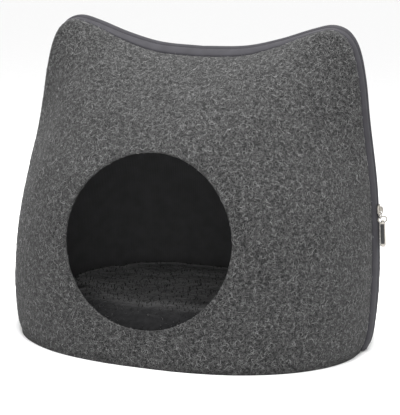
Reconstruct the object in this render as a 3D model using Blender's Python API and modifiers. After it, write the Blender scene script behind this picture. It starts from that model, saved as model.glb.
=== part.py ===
"""Felt cat cave: two pressed felt panels zipped together over a felt floor.

The zip runs from one bottom corner up the side, over both ears and down the other
side.  The front panel has a round entrance, and a plush cushion lies on the floor.
Metres, +Z up, the entrance faces -Y, and the origin is the middle of the footprint.
"""
import math

import bmesh
import bpy
import numpy as np
from mathutils import Matrix, Vector

# ---------------------------------------------------------------- driving sizes
GAP = 0.0003                    # running gap between neighbouring pieces

# Half of the zip's line, from a bottom corner over one ear to the middle of the dip.
# Columns: half width, height, and how far the front and the back felt's edge lie inside.
HALF_OUTLINE = (
    (0.1812, 0.0000, 0.0035, 0.0030),   # bottom corner
    (0.1870, 0.0140, 0.0038, 0.0032),
    (0.1896, 0.0400, 0.0039, 0.0032),
    (0.1900, 0.0900, 0.0039, 0.0032),   # widest
    (0.1855, 0.1580, 0.0039, 0.0032),
    (0.1740, 0.2300, 0.0038, 0.0030),
    (0.1680, 0.2700, 0.0034, 0.0027),
    (0.1600, 0.2990, 0.0028, 0.0020),   # outer edge of the ear
    (0.1490, 0.3140, 0.0020, 0.0012),
    (0.1340, 0.3190, 0.0017, 0.0008),   # tip of the ear
    (0.1150, 0.3150, 0.0024, 0.0010),
    (0.0800, 0.3035, 0.0052, 0.0018),
    (0.0450, 0.2955, 0.0074, 0.0026),
    (0.0000, 0.2932, 0.0080, 0.0030),   # middle of the dip
)
CORNER_ROW = 8                  # the row of HALF_OUTLINE where a panel's side meets its top

# The pressed form of each panel, up its middle.
# Columns: share of the height, depth in front of the felt's edge, sharpness of the plan curve.
FORM_PROFILE = (
    (0.00, 0.1335, 0.53),
    (0.07, 0.1348, 0.54),
    (0.20, 0.1360, 0.53),
    (0.40, 0.1330, 0.62),
    (0.55, 0.1265, 0.82),
    (0.68, 0.1070, 1.08),
    (0.80, 0.0790, 1.15),
    (0.92, 0.0380, 1.20),
    (1.00, 0.0000, 1.25),
)
# Plan curve of a panel: depth * (1 - |x / half width| ** fullness) ** sharpness
FULLNESS = (2.45, 2.25)         # at the floor, at the top
EDGE_ROLL = 0.006               # the felt rolls over its edge into the zip on this radius

# Soft hollows of the front felt; a negative depth is a swell.
# Columns: x and z of the middle, half width, half height, depth.
FRONT_HOLLOWS = (
    (-0.112, 0.272, 0.014, 0.026, 0.0030),   # crease under the left ear
    (-0.150, 0.235, 0.020, 0.022, 0.0022),   # dip on the left side
    (-0.158, 0.178, 0.024, 0.018, -0.0016),  # swell under it
)
HOLLOW_FADE = 0.02              # the hollows fade out where the form is shallower

FELT = 0.004                    # felt with its bonded backing
ENTRANCE_X = -0.003
ENTRANCE_Z = 0.1186
ENTRANCE_HALF_WIDTH = 0.0845
ENTRANCE_HALF_HEIGHT = 0.0826

ZIP_HALF_WIDTH = 0.011          # from the slit to the felt's edge
SLIT_HALF_WIDTH = 0.0006
TAPE_SHARES = (SLIT_HALF_WIDTH / ZIP_HALF_WIDTH, 0.25, 0.45, 0.70)     # points over a tape
DROP_POWER = 1.6                # the zip's section: flat at the slit, steep at the felt
TAPE = 0.0012
TAPE_RECESS = 0.0005            # the tape lies a little below the felt's face
FRONT_CROWN = (0.0006, 0.0006)  # rise of the front tape over a straight line: sides, top
BACK_CROWN = (0.0010, 0.0025)   # and of the back tape
TAPE_CLEARANCE = 0.0006         # between a tape's flange and the felt's cut edge
TAPE_FLANGE = 0.0070            # seam allowance turned in along the felt's cut edge
CHAIN_HALF_WIDTH = 0.0024
CHAIN_THICKNESS = 0.0018
ZIP_FOOT = 0.0006               # the zip stops just above the floor

SLIDER_Z = 0.1430               # middle of the slider, on the right-hand side
SLIDER_LENGTH = 0.0115
SLIDER_WIDTH = 0.0080
SLIDER_PLATE = 0.0016
SLIDER_SEAT = 0.0005            # from the zip's line out to the plate's underside
BRIDGE_HALF_LENGTH = 0.0038
BRIDGE_PEAK = 0.0050            # from the zip's line out to the bridge's middle
BRIDGE_POWER = 0.5              # the bridge's side view: 1 is a half ellipse, less is squarer
BRIDGE_WIRE = 0.0006            # radius
LINK_OUT = 0.0029               # from the zip's line out to the link
LINK_HALF_WIDTH = 0.0032
LINK_HALF_HEIGHT = 0.0032
LINK_LEAN = math.radians(22)    # the link hangs leaning towards the front
LINK_WIRE = 0.0005
EYE_HANG = math.radians(116)    # where on its round the eye hangs in the link
EYE_CLEARANCE = 0.0006          # between the eye and the link's lowest inside
EYE_HALF_WIDTH = 0.0048
EYE_HALF_HEIGHT = 0.0030
EYE_WIRE = 0.0007
PULL_TURN = math.radians(45)    # the pull hangs turned towards the front
PULL_INSET = 0.0008             # the pull's blade stands this far inside its eye's middle
PULL_LENGTH = 0.0250
PULL_WIDTH = 0.0056
PULL_THICKNESS = 0.0024
PULL_RIM = 0.0008
PULL_HEAD = 0.0022              # metal above the insert
PULL_TAIL = 0.0030              # metal below the insert
PULL_BEVEL = 0.0006

FLOOR_CLEARANCE = 0.0005        # between the felt floor and the walls, in plan
FLOOR_END = 0.0095              # the floor's ends stop this far inside the zip's foot
FLOOR_NOTCH = 0.0130            # half width of the notch for the zip's foot
CUSHION_HALF_LENGTH = 0.1660
CUSHION_HALF_DEPTH = 0.1400
CUSHION_HEIGHT = 0.0600
CUSHION_SEAM_Z = 0.0210
CUSHION_CROWN = 0.85            # power of the crown's curve; 1 is a half ellipse
CUSHION_DRAW_IN = 0.62          # power of the sides' curve; smaller is fuller
CUSHION_PRESS = 2.2             # how hard the underside is pressed flat on the floor
CUSHION_SIDES = 40
CUSHION_RINGS = 16

COLUMNS = 32                    # faces across a panel
ROWS = 20                       # faces up a panel
CROWDING = 1.5                  # power by which both stand closer towards the felt's edge
SAMPLES = 12                    # outline samples between two rows of a table
BELOW_FLOOR = 0.004             # how far a panel runs on before its foot is cut flat
FLOOR_CUTTER = (0.6, 0.6, 0.05)
ENTRANCE_CUTTER_Y = -0.14
ENTRANCE_CUTTER_DEPTH = 0.2
ENTRANCE_SIDES = 64
OVAL_STEPS = 16
BRIDGE_STEPS = 8
WELD = 0.00001
SHARP_ANGLE = math.radians(40)  # edges sharper than this are not shaded smooth


# ---------------------------------------------------------------- small helpers
def clear_scene():
    """Remove every object of the scene."""
    for obj in list(bpy.context.scene.objects):
        bpy.data.objects.remove(obj, do_unlink=True)


def collection(name):
    """A new collection in the scene."""
    group = bpy.data.collections.new(name)
    bpy.context.scene.collection.children.link(group)
    return group


def material(name, colour, roughness, metallic=0.0):
    """A plain Principled material; colour is linear RGB."""
    mat = bpy.data.materials.new(name)
    mat.use_nodes = True
    shader = mat.node_tree.nodes["Principled BSDF"]
    shader.inputs["Base Color"].default_value = (*colour, 1.0)
    shader.inputs["Roughness"].default_value = roughness
    shader.inputs["Metallic"].default_value = metallic
    return mat


def object_from_bmesh(name, bm, group, mat=None):
    """Turn a bmesh into a linked, smooth-shaded object."""
    mesh = bpy.data.meshes.new(name)
    bm.to_mesh(mesh)
    bm.free()
    mesh.shade_smooth()
    mesh.set_sharp_from_angle(angle=SHARP_ANGLE)
    obj = bpy.data.objects.new(name, mesh)
    group.objects.link(obj)
    if mat:
        mesh.materials.append(mat)
    return obj


def boolean(obj, other, operation):
    """Cut or join obj with another mesh object."""
    mod = obj.modifiers.new(other.name, "BOOLEAN")
    mod.operation = operation
    mod.solver = "EXACT"
    mod.object = other


def apply_modifiers(obj):
    """Replace the object's mesh by its evaluated one."""
    graph = bpy.context.evaluated_depsgraph_get()
    mesh = bpy.data.meshes.new_from_object(obj.evaluated_get(graph))
    obj.modifiers.clear()
    obj.data = mesh


def join(base, extra):
    """Join extra into base for good and remove extra."""
    boolean(base, extra, "UNION")
    apply_modifiers(base)
    bpy.data.objects.remove(extra, do_unlink=True)


def hidden_cutter(obj):
    """Mark an object as a cutter."""
    obj.hide_render = True
    obj.display_type = "WIRE"
    return obj


def smooth_rows(rows, samples):
    """Points on a smooth curve through the rows of a table (uneven steps allowed)."""
    pts = np.array(rows, dtype=float)
    pts = np.vstack([2 * pts[0] - pts[1], pts, 2 * pts[-1] - pts[-2]])
    steps = np.linalg.norm(np.diff(pts[:, :2], axis=0), axis=1)
    out = []
    for i in range(1, len(pts) - 2):
        before, here, after = steps[i - 1:i + 2]
        slope_in = (pts[i + 1] - pts[i - 1]) / (before + here) * here
        slope_out = (pts[i + 2] - pts[i]) / (here + after) * here
        for t in np.linspace(0, 1, samples, endpoint=False):
            out.append((2 * t**3 - 3 * t**2 + 1) * pts[i]
                       + (t**3 - 2 * t**2 + t) * slope_in
                       + (3 * t**2 - 2 * t**3) * pts[i + 1]
                       + (t**3 - t**2) * slope_out)
    out.append(pts[-2])
    return np.array(out)


def loft(sections):
    """Closed bmesh through equal rings of points, capped at both ends."""
    bm = bmesh.new()
    rings = [[bm.verts.new(p) for p in ring] for ring in sections]
    for ring, following in zip(rings, rings[1:]):
        for i in range(len(ring)):
            j = (i + 1) % len(ring)
            bm.faces.new((ring[i], ring[j], following[j], following[i]))
    bm.faces.new(rings[0][::-1])
    bm.faces.new(rings[-1])
    bmesh.ops.recalc_face_normals(bm, faces=bm.faces)
    return bm


# ---------------------------------------------------------------- the zip's line
class Outline:
    """Half outline of the zip's line and of one panel's felt edge inside it."""

    def __init__(self, drop_column):
        rows = smooth_rows(HALF_OUTLINE, SAMPLES)
        rows[-1, 0] = 0.0
        self.line, self.drop = rows[:, :2], rows[:, drop_column]
        along = np.gradient(self.line, axis=0)
        along[-1] = (-1.0, 0.0)
        along /= np.linalg.norm(along, axis=1)[:, None]
        self.outward = np.stack([along[:, 1], -along[:, 0]], axis=1)
        self.edge = self.line - self.outward * self.drop[:, None]
        self.edge[0, 1] = 0.0
        self.corner = CORNER_ROW * SAMPLES
        self.last = len(rows) - 1
        lengths = np.linalg.norm(np.diff(self.edge, axis=0), axis=1)
        self.run = np.concatenate([[0.0], np.cumsum(lengths)])

    def at(self, values, index):
        """A column of the outline at a fractional sample index."""
        samples = np.arange(self.last + 1)
        return np.array([np.interp(index, samples, values[:, k]) for k in range(values.shape[1])])

    def side_index(self, v):
        """Sample index at share v of the way from the foot to the ear's corner."""
        return np.interp(v * self.run[self.corner], self.run, np.arange(self.last + 1))

    def top_index(self, s):
        """Sample index at share s of the way from the dip to the ear's corner."""
        end, corner = self.run[-1], self.run[self.corner]
        return np.interp(end - s * (end - corner), self.run, np.arange(self.last + 1))

    def distance(self, x, z):
        """Distance from a point to the felt's edge."""
        start, along = self.edge[:-1], np.diff(self.edge, axis=0)
        to_point = np.array((abs(x), z)) - start
        share = (to_point * along).sum(axis=1) / (along**2).sum(axis=1)
        foot = start + along * np.clip(share, 0.0, 1.0)[:, None]
        return np.hypot(foot[:, 0] - abs(x), foot[:, 1] - z).min()

    def half_width(self, z):
        """Half width of the felt's edge at height z, on the outer side."""
        side = self.edge[:self.corner + 1]
        return np.interp(z, side[:, 1], side[:, 0])

    def top_height(self, x):
        """Height of the felt's top edge over x."""
        top = self.edge[self.corner:][::-1]
        return np.interp(abs(x), top[:, 0], top[:, 1])


FRONT, BACK = -1, 1             # which way a panel faces along Y
OUTLINES = {FRONT: Outline(2), BACK: Outline(3)}
FORM_LINE = smooth_rows(FORM_PROFILE, SAMPLES)


# ---------------------------------------------------------------- the pressed form
def blend(ends, t):
    """A value between a pair."""
    return ends[0] + (ends[1] - ends[0]) * t


def press_depth(outline, x, z):
    """Depth of the pressed form in front of the felt's edge."""
    t = min(max(z / outline.top_height(x), 0.0), 1.0)
    s = min(abs(x) / outline.half_width(max(z, 0.0)), 1.0)
    middle = np.interp(t, FORM_LINE[:, 0], FORM_LINE[:, 1])
    sharpness = np.interp(t, FORM_LINE[:, 0], FORM_LINE[:, 2])
    inside = EDGE_ROLL - min(outline.distance(x, z), EDGE_ROLL)
    roll = math.sqrt(EDGE_ROLL**2 - inside**2)
    return roll + middle * (1.0 - s ** blend(FULLNESS, t)) ** sharpness


def hollow_depth(x, z):
    """Depth of the front felt's soft hollows."""
    return sum(depth * math.exp(-((x - cx) / wide) ** 2 - ((z - cz) / tall) ** 2)
               for cx, cz, wide, tall, depth in FRONT_HOLLOWS)


def crowded(share):
    """A share from 0 to 1, with equal steps made closer towards 1."""
    return 1.0 - (1.0 - share) ** CROWDING


def form_point(outline, s, v):
    """x and z of a panel's grid point: s from -1 to 1 across, v from 0 to 1 up."""
    foot_x = outline.edge[0, 0]
    corner_x, corner_z = outline.edge[outline.corner]
    side_x, side_z = outline.at(outline.edge, outline.side_index(v))
    top_x, top_z = outline.at(outline.edge, outline.top_index(abs(s)))
    top_x = math.copysign(top_x, s)
    x = s * side_x + (1 - v) * s * foot_x + v * top_x - s * blend((foot_x, corner_x), v)
    z = side_z + v * (top_z - corner_z)
    return x, z


def panel_sheet(facing, hollows=False):
    """Open sheet of a panel's outer face."""
    outline = OUTLINES[facing]
    bm = bmesh.new()
    bmesh.ops.create_grid(bm, x_segments=COLUMNS, y_segments=ROWS, size=1.0)
    for vert in bm.verts:
        across = math.copysign(crowded(abs(vert.co.x)), vert.co.x)
        up = (vert.co.y + 1.0) / 2.0
        x, z = form_point(outline, across, crowded(up))
        depth = press_depth(outline, x, z)
        if hollows:
            depth -= hollow_depth(x, z) * min(1.0, depth / HOLLOW_FADE)
        foot = BELOW_FLOOR if up == 0.0 else 0.0
        vert.co = (x, facing * (ZIP_HALF_WIDTH + depth), z - foot)
    if facing == BACK:
        bmesh.ops.reverse_faces(bm, faces=bm.faces)
    bm.normal_update()
    return bm


def panel(name, facing, group, cutters, mat, hollows=False):
    """A felt panel: the sheet with its thickness, its foot cut flat on the floor."""
    obj = object_from_bmesh(name, panel_sheet(facing, hollows), group, mat)
    shell = obj.modifiers.new("felt", "SOLIDIFY")
    shell.thickness = FELT
    shell.offset = -1.0
    shell.use_even_offset = True
    for cutter in cutters:
        boolean(obj, cutter, "DIFFERENCE")
    return obj


def floor_cutter(group):
    """Everything below the floor."""
    bpy.ops.mesh.primitive_cube_add(size=1.0, location=(0, 0, -FLOOR_CUTTER[2] / 2))
    obj = bpy.context.object
    obj.name = "floor_cutter"
    obj.scale = FLOOR_CUTTER
    move_to(obj, group)
    return hidden_cutter(obj)


def entrance_cutter(group):
    """The round entrance, cut through the front panel."""
    bpy.ops.mesh.primitive_cylinder_add(vertices=ENTRANCE_SIDES, radius=1.0,
                                        depth=ENTRANCE_CUTTER_DEPTH,
                                        location=(ENTRANCE_X, ENTRANCE_CUTTER_Y, ENTRANCE_Z),
                                        rotation=(math.radians(90), 0, 0))
    obj = bpy.context.object
    obj.name = "entrance_cutter"
    obj.scale = (ENTRANCE_HALF_WIDTH, ENTRANCE_HALF_HEIGHT, 1.0)
    move_to(obj, group)
    return hidden_cutter(obj)


def move_to(obj, group):
    """Link an object to one collection alone."""
    for other in list(obj.users_collection):
        other.objects.unlink(obj)
    group.objects.link(obj)


# ---------------------------------------------------------------- the zip
def zip_stations(outline):
    """Stations along the zip: sample index of the outline and side, foot to foot."""
    left = [(outline.side_index(crowded(row / ROWS)), -1) for row in range(ROWS + 1)]
    top = []
    for column in range(1, COLUMNS):
        u = 2 * column / COLUMNS - 1
        top.append((outline.top_index(crowded(abs(u))), -1 if u < 0 else 1))
    right = [(index, 1) for index, _ in reversed(left)]
    return left + top + right


def edge_frames(facing):
    """Felt edge of a sheet at each station: point, direction inwards and towards the slit."""
    bm = panel_sheet(facing)
    bm.verts.ensure_lookup_table()
    across = COLUMNS + 1
    left = [row * across for row in range(ROWS + 1)]
    top = [ROWS * across + column for column in range(1, COLUMNS)]
    right = [row * across + COLUMNS for row in range(ROWS, -1, -1)]
    verts = [bm.verts[i] for i in left + top + right]
    frames = []
    for i, vert in enumerate(verts):
        tangent = verts[min(i + 1, len(verts) - 1)].co - verts[max(i - 1, 0)].co
        inward = -vert.normal
        onward = tangent.cross(inward).normalized()
        if onward.y * facing > 0:
            onward = -onward
        point = vert.co.copy()
        point.z = max(point.z, ZIP_FOOT)
        frames.append((point, inward, onward))
    bm.free()
    return frames


def line_frame(outline, index, side):
    """Point of the zip's line at a station, its outward direction and the felt's drop."""
    x, z = outline.at(outline.line, index)
    out_x, out_z = outline.at(outline.outward, index)
    drop = np.interp(index, np.arange(outline.last + 1), outline.drop)
    outward = Vector((side * out_x, 0, out_z))
    return Vector((side * x, 0, max(z, ZIP_FOOT))), outward, drop


def tape_section(facing, station, frame):
    """Ring of points round the tape: over the face, and back along its flange."""
    origin, outward, drop = line_frame(OUTLINES[facing], *station)
    edge, inward, onward = frame
    crown = blend(FRONT_CROWN if facing == FRONT else BACK_CROWN, max(outward.z, 0.0))
    face = []
    for share in TAPE_SHARES:
        rise = crown * 4 * share * (1 - share) - drop * share ** DROP_POWER
        face.append(origin + outward * rise + Vector((0, facing * share * ZIP_HALF_WIDTH, 0)))
    corner = edge + onward * TAPE_CLEARANCE + inward * TAPE_RECESS
    inner = corner + onward * TAPE
    ring = face + [corner,
                   corner + inward * TAPE_FLANGE,
                   inner + inward * TAPE_FLANGE,
                   inner + inward * TAPE]
    ring += [point - outward * TAPE for point in reversed(face[:-1])]
    for point in ring:
        point.z = max(point.z, ZIP_FOOT)
    return ring


def zip_tape(name, facing, group, mat):
    """One tape of the zip, along a panel's edge."""
    sections = [tape_section(facing, station, frame)
                for station, frame in zip(zip_stations(OUTLINES[facing]), edge_frames(facing))]
    return object_from_bmesh(name, loft(sections), group, mat)


def zip_chain(group, mat):
    """The closed chain of the zip, under the slit."""
    sections = []
    share = CHAIN_HALF_WIDTH / ZIP_HALF_WIDTH
    outline = OUTLINES[FRONT]
    for station in zip_stations(outline):
        origin, outward, drop = line_frame(outline, *station)
        top = origin - outward * (TAPE + GAP + drop * share ** DROP_POWER)
        foot = top - outward * CHAIN_THICKNESS
        reach = Vector((0, CHAIN_HALF_WIDTH, 0))
        sections.append([top - reach, top + reach, foot + reach, foot - reach])
    return object_from_bmesh("zip_chain", loft(sections), group, mat)


# ---------------------------------------------------------------- slider and pull
def slider_matrix():
    """Frame of the slider: X out of the zip's line, Y across the zip, Z up along it."""
    outline = OUTLINES[FRONT]
    side = outline.line[:outline.corner + 1]
    index = np.interp(SLIDER_Z, side[:, 1], np.arange(outline.corner + 1))
    origin, outward, _ = line_frame(outline, index, 1)
    across = Vector((0, 1, 0))
    up = outward.cross(across)
    turn = Matrix((outward, across, up)).transposed().to_4x4()
    return Matrix.Translation(origin) @ turn


def box(name, size, centre, bevel, group, mat=None):
    """A box with rounded edges, in its own mesh's coordinates."""
    bm = bmesh.new()
    bmesh.ops.create_cube(bm, size=1.0)
    bmesh.ops.scale(bm, vec=Vector(size), verts=bm.verts)
    bmesh.ops.translate(bm, vec=Vector(centre), verts=bm.verts)
    bmesh.ops.bevel(bm, geom=bm.edges, offset=bevel, segments=2, affect="EDGES", profile=0.5)
    return object_from_bmesh(name, bm, group, mat)


def wire(name, points, radius, group, mat=None, cyclic=False):
    """A bent wire through points, as a mesh with welded caps."""
    data = bpy.data.curves.new(name, "CURVE")
    data.dimensions = "3D"
    data.bevel_depth = radius
    data.bevel_resolution = 2
    data.use_fill_caps = not cyclic
    spline = data.splines.new("POLY")
    spline.points.add(len(points) - 1)
    for knot, point in zip(spline.points, points):
        knot.co = (*point, 1.0)
    spline.use_cyclic_u = cyclic
    curve = bpy.data.objects.new(name + "_curve", data)
    group.objects.link(curve)
    graph = bpy.context.evaluated_depsgraph_get()
    bm = bmesh.new()
    bm.from_mesh(bpy.data.meshes.new_from_object(curve.evaluated_get(graph)))
    bmesh.ops.remove_doubles(bm, verts=bm.verts, dist=WELD)
    bmesh.ops.recalc_face_normals(bm, faces=bm.faces)
    bpy.data.objects.remove(curve, do_unlink=True)
    return object_from_bmesh(name, bm, group, mat)


def oval(centre, across, up):
    """Points of an oval round a centre; across and up are its half axes."""
    angles = [2 * math.pi * step / OVAL_STEPS for step in range(OVAL_STEPS)]
    return [centre + across * math.cos(a) + up * math.sin(a) for a in angles]


def slider(group, mat, frame):
    """Slider body: a plate over the slit and the bridge that holds the pull."""
    plate_out = SLIDER_SEAT + SLIDER_PLATE / 2
    body = box("zip_slider", (SLIDER_PLATE, SLIDER_WIDTH, SLIDER_LENGTH), (plate_out, 0, 0),
               PULL_BEVEL, group, mat)
    points = []
    for step in range(BRIDGE_STEPS + 1):
        angle = math.pi * step / BRIDGE_STEPS
        points.append((plate_out + (BRIDGE_PEAK - plate_out) * math.sin(angle) ** BRIDGE_POWER, 0,
                       BRIDGE_HALF_LENGTH * math.cos(angle)))
    join(body, wire("bridge", points, BRIDGE_WIRE, group))
    body.matrix_world = frame


def pull_link(group, mat, frame):
    """Small ring under the bridge; returns the place inside it where the eye hangs."""
    up = Vector((0, math.sin(LINK_LEAN), math.cos(LINK_LEAN)))
    across = Vector((0, math.cos(LINK_LEAN), -math.sin(LINK_LEAN)))
    top = Vector((LINK_OUT, 0, -BRIDGE_HALF_LENGTH + BRIDGE_WIRE + LINK_WIRE + 2 * GAP))
    centre = top - up * LINK_HALF_HEIGHT
    points = oval(centre, across * LINK_HALF_WIDTH, up * LINK_HALF_HEIGHT)
    link = wire("zip_pull_link", points, LINK_WIRE, group, mat, cyclic=True)
    link.matrix_world = frame
    return centre - up * (LINK_HALF_HEIGHT - LINK_WIRE - EYE_WIRE - EYE_CLEARANCE)


def pull(group, metal, moulded, frame, hang):
    """Pull: an eye, a narrow metal frame under it and the moulded insert in that."""
    across = Vector((math.cos(PULL_TURN), math.sin(PULL_TURN), 0)) * EYE_HALF_WIDTH
    up = Vector((0, 0, EYE_HALF_HEIGHT))
    centre = hang - across * math.cos(EYE_HANG) - up * math.sin(EYE_HANG)
    top = centre.z - EYE_HALF_HEIGHT + EYE_WIRE
    place = (Matrix.Translation((centre.x - PULL_INSET, centre.y, 0))
             @ Matrix.Rotation(PULL_TURN, 4, "Z"))

    body = box("zip_pull_frame", (PULL_WIDTH, PULL_THICKNESS, PULL_LENGTH),
               (0, 0, top - PULL_LENGTH / 2), PULL_BEVEL, group, metal)
    window_height = PULL_LENGTH - PULL_HEAD - PULL_TAIL
    window_z = top - PULL_HEAD - window_height / 2
    window_width = PULL_WIDTH - 2 * PULL_RIM
    window = box("window", (window_width, 2 * PULL_THICKNESS, window_height), (0, 0, window_z),
                 PULL_RIM / 2, group)
    boolean(body, window, "DIFFERENCE")
    apply_modifiers(body)
    bpy.data.objects.remove(window, do_unlink=True)
    body.data.transform(place)
    join(body, wire("eye", oval(centre, across, up), EYE_WIRE, group, cyclic=True))
    body.matrix_world = frame

    insert = box("zip_pull_insert",
                 (window_width - 2 * GAP, PULL_THICKNESS, window_height - 2 * GAP),
                 (0, 0, window_z), PULL_RIM / 2, group, moulded)
    insert.matrix_world = frame @ place


# ---------------------------------------------------------------- floor and cushion
def floor_side(facing):
    """Edge of the floor along one panel, from left to right."""
    outline = OUTLINES[facing]
    wall = []
    for column in range(COLUMNS + 1):
        u = 2 * column / COLUMNS - 1
        x = math.copysign(crowded(abs(u)), u) * outline.edge[0, 0]
        wall.append(Vector((x, facing * (ZIP_HALF_WIDTH + press_depth(outline, x, 0.0)), 0)))
    inset = FELT + FLOOR_CLEARANCE
    side = []
    for before, here, after in zip(wall, wall[1:], wall[2:]):
        along = (after - before).normalized()
        point = here + Vector((along.y, -along.x, 0)) * facing * inset
        if abs(point.y) > FLOOR_NOTCH:
            side.append(point)
    end = outline.edge[0, 0] - FLOOR_END
    return ([Vector((-end, facing * FLOOR_NOTCH, 0))] + side
            + [Vector((end, facing * FLOOR_NOTCH, 0))])


def floor_outline():
    """Outline of the felt floor, inside the walls and notched for the zip's feet."""
    return floor_side(BACK) + floor_side(FRONT)[::-1]


def base_panel(group, mat):
    """The felt floor."""
    data = bpy.data.curves.new("base_panel", "CURVE")
    data.dimensions = "2D"
    data.fill_mode = "BOTH"
    data.extrude = FELT / 2
    points = floor_outline()
    spline = data.splines.new("POLY")
    spline.points.add(len(points) - 1)
    for knot, point in zip(spline.points, points):
        knot.co = (*point, 1.0)
    spline.use_cyclic_u = True
    curve = bpy.data.objects.new("base_panel_curve", data)
    group.objects.link(curve)
    graph = bpy.context.evaluated_depsgraph_get()
    bm = bmesh.new()
    bm.from_mesh(bpy.data.meshes.new_from_object(curve.evaluated_get(graph)))
    bmesh.ops.remove_doubles(bm, verts=bm.verts, dist=WELD)
    bmesh.ops.translate(bm, vec=(0, 0, FELT / 2), verts=bm.verts)
    bpy.data.objects.remove(curve, do_unlink=True)
    return object_from_bmesh("base_panel", bm, group, mat)


def cushion(group, mat):
    """Plush cushion: crowned above, drawn in to its seam, flat on the floor."""
    bm = bmesh.new()
    bmesh.ops.create_uvsphere(bm, u_segments=CUSHION_SIDES, v_segments=CUSHION_RINGS, radius=1.0)
    floor_z = FELT + GAP
    for vert in bm.verts:
        reach = math.hypot(vert.co.x, vert.co.y) ** CUSHION_DRAW_IN
        turn = math.atan2(vert.co.y, vert.co.x)
        x = CUSHION_HALF_LENGTH * math.cos(turn)
        fullness = 1.0 - min(abs(math.cos(turn)), 1.0) ** FULLNESS[0]
        y = CUSHION_HALF_DEPTH * fullness ** FORM_PROFILE[0][2] * math.copysign(1, turn)
        if vert.co.z >= 0:
            rise = CUSHION_HEIGHT - CUSHION_SEAM_Z
            z = CUSHION_SEAM_Z + rise * vert.co.z ** CUSHION_CROWN
        else:
            drop = (CUSHION_SEAM_Z - floor_z) * CUSHION_PRESS * -vert.co.z
            z = max(CUSHION_SEAM_Z - drop, floor_z)
        vert.co = (x * reach, y * reach, z)
    return object_from_bmesh("cushion", bm, group, mat)


# ---------------------------------------------------------------- the whole cave
def main():
    """Build the cat cave."""
    clear_scene()
    cave = collection("felt_cat_cave")
    cutters = collection("cutters")
    felt = material("grey_felt", (0.085, 0.085, 0.088), 0.95)
    tape = material("zip_tape", (0.075, 0.075, 0.082), 0.75)
    coil = material("zip_coil", (0.012, 0.012, 0.013), 0.6)
    nickel = material("nickel_plate", (0.62, 0.60, 0.57), 0.25, 1.0)
    moulded = material("moulded_insert", (0.02, 0.02, 0.022), 0.5)
    plush = material("grey_plush", (0.025, 0.025, 0.027), 1.0)

    foot = floor_cutter(cutters)
    entrance = entrance_cutter(cutters)
    panel("front_panel", FRONT, cave, (foot, entrance), felt, hollows=True)
    panel("back_panel", BACK, cave, (foot,), felt)
    base_panel(cave, felt)
    zip_tape("zip_tape_front", FRONT, cave, tape)
    zip_tape("zip_tape_back", BACK, cave, tape)
    zip_chain(cave, coil)
    frame = slider_matrix()
    slider(cave, nickel, frame)
    hang = pull_link(cave, nickel, frame)
    pull(cave, nickel, moulded, frame, hang)
    cushion(cave, plush)


main()
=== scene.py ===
"""Looks of a felt cat cave: pressed felt panels, a reverse coil zip and a plush cushion.

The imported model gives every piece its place, and this script gives each one its fine
shape and its finish.  Metres, +Z up, the round entrance faces -Y.
"""
import logging
import math
from dataclasses import dataclass, field
from enum import Enum
from functools import partial

import bmesh
import bpy
import numpy as np
from mathutils import Matrix, Vector, noise


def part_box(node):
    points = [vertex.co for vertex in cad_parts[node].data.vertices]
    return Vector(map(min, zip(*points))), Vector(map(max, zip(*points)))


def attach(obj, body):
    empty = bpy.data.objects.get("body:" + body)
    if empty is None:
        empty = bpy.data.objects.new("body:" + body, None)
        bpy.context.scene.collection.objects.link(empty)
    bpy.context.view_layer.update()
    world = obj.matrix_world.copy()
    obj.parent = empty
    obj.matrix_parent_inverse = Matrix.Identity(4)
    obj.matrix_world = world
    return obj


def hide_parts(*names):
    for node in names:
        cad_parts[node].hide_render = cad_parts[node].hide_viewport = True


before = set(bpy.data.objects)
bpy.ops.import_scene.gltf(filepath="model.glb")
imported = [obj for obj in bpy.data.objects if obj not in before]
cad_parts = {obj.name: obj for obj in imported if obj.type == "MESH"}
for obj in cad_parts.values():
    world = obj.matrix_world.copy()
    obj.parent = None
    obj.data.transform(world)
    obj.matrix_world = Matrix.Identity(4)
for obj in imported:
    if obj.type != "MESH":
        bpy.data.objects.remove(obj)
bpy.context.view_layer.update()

BODY = "root"
MM = 0.001
SHARP_ANGLE = math.radians(35)      # metal edges sharper than this are not shaded smooth
MERGED = 0.005 * MM                 # a plate's points closer than this become one
LOG = logging.getLogger("cat_cave")


class Facing(Enum):
    """Which half of the cave a piece belongs to, as its direction along Y."""

    FRONT = -1
    BACK = 1


class Slot(Enum):
    """Names of the material slots."""

    FELT = "felt"
    TAPE = "zip_tape"
    COIL = "zip_coil"
    NICKEL = "nickel_plate"
    MOULDED = "moulded_insert"
    PLUSH = "plush"


# ---------------------------------------------------------------- colours and nodes
def srgb(code: str) -> tuple[float, float, float, float]:
    """Turn an sRGB hex value into linear RGBA.

    Args:
        code: a colour such as "#5a5a5c".

    Returns:
        The linear colour with full alpha.
    """
    parts = [int(code[i:i + 2], 16) / 255 for i in (1, 3, 5)]
    linear = [p / 12.92 if p <= 0.04045 else ((p + 0.055) / 1.055) ** 2.4 for p in parts]
    return (*linear, 1.0)


def feed(tree: bpy.types.NodeTree, node: bpy.types.Node, inputs: dict) -> None:
    """Fill or link a node's inputs.

    Args:
        tree: the node tree.
        node: the node.
        inputs: input name or number to a value, or to the output or node that feeds it, or
            to a list of them.  A node gives its first output that is in use.
    """
    for key, value in inputs.items():
        for source in value if isinstance(value, list) else [value]:
            if isinstance(source, bpy.types.Node):
                source = next(output for output in source.outputs if output.enabled)
            if isinstance(source, bpy.types.NodeSocket):
                tree.links.new(source, node.inputs[key])
            else:
                node.inputs[key].default_value = source


def add_node(tree: bpy.types.NodeTree, kind: str, inputs: dict | None = None,
             **settings: object) -> bpy.types.Node:
    """Add a node with its settings and links.

    Args:
        tree: the node tree.
        kind: the node's type name.
        inputs: what goes into its inputs, as for feed.
        settings: the node's own properties.

    Returns:
        The new node.
    """
    node = tree.nodes.new(kind)
    for name, value in settings.items():
        setattr(node, name, value)
    feed(tree, node, inputs or {})
    return node


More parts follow.
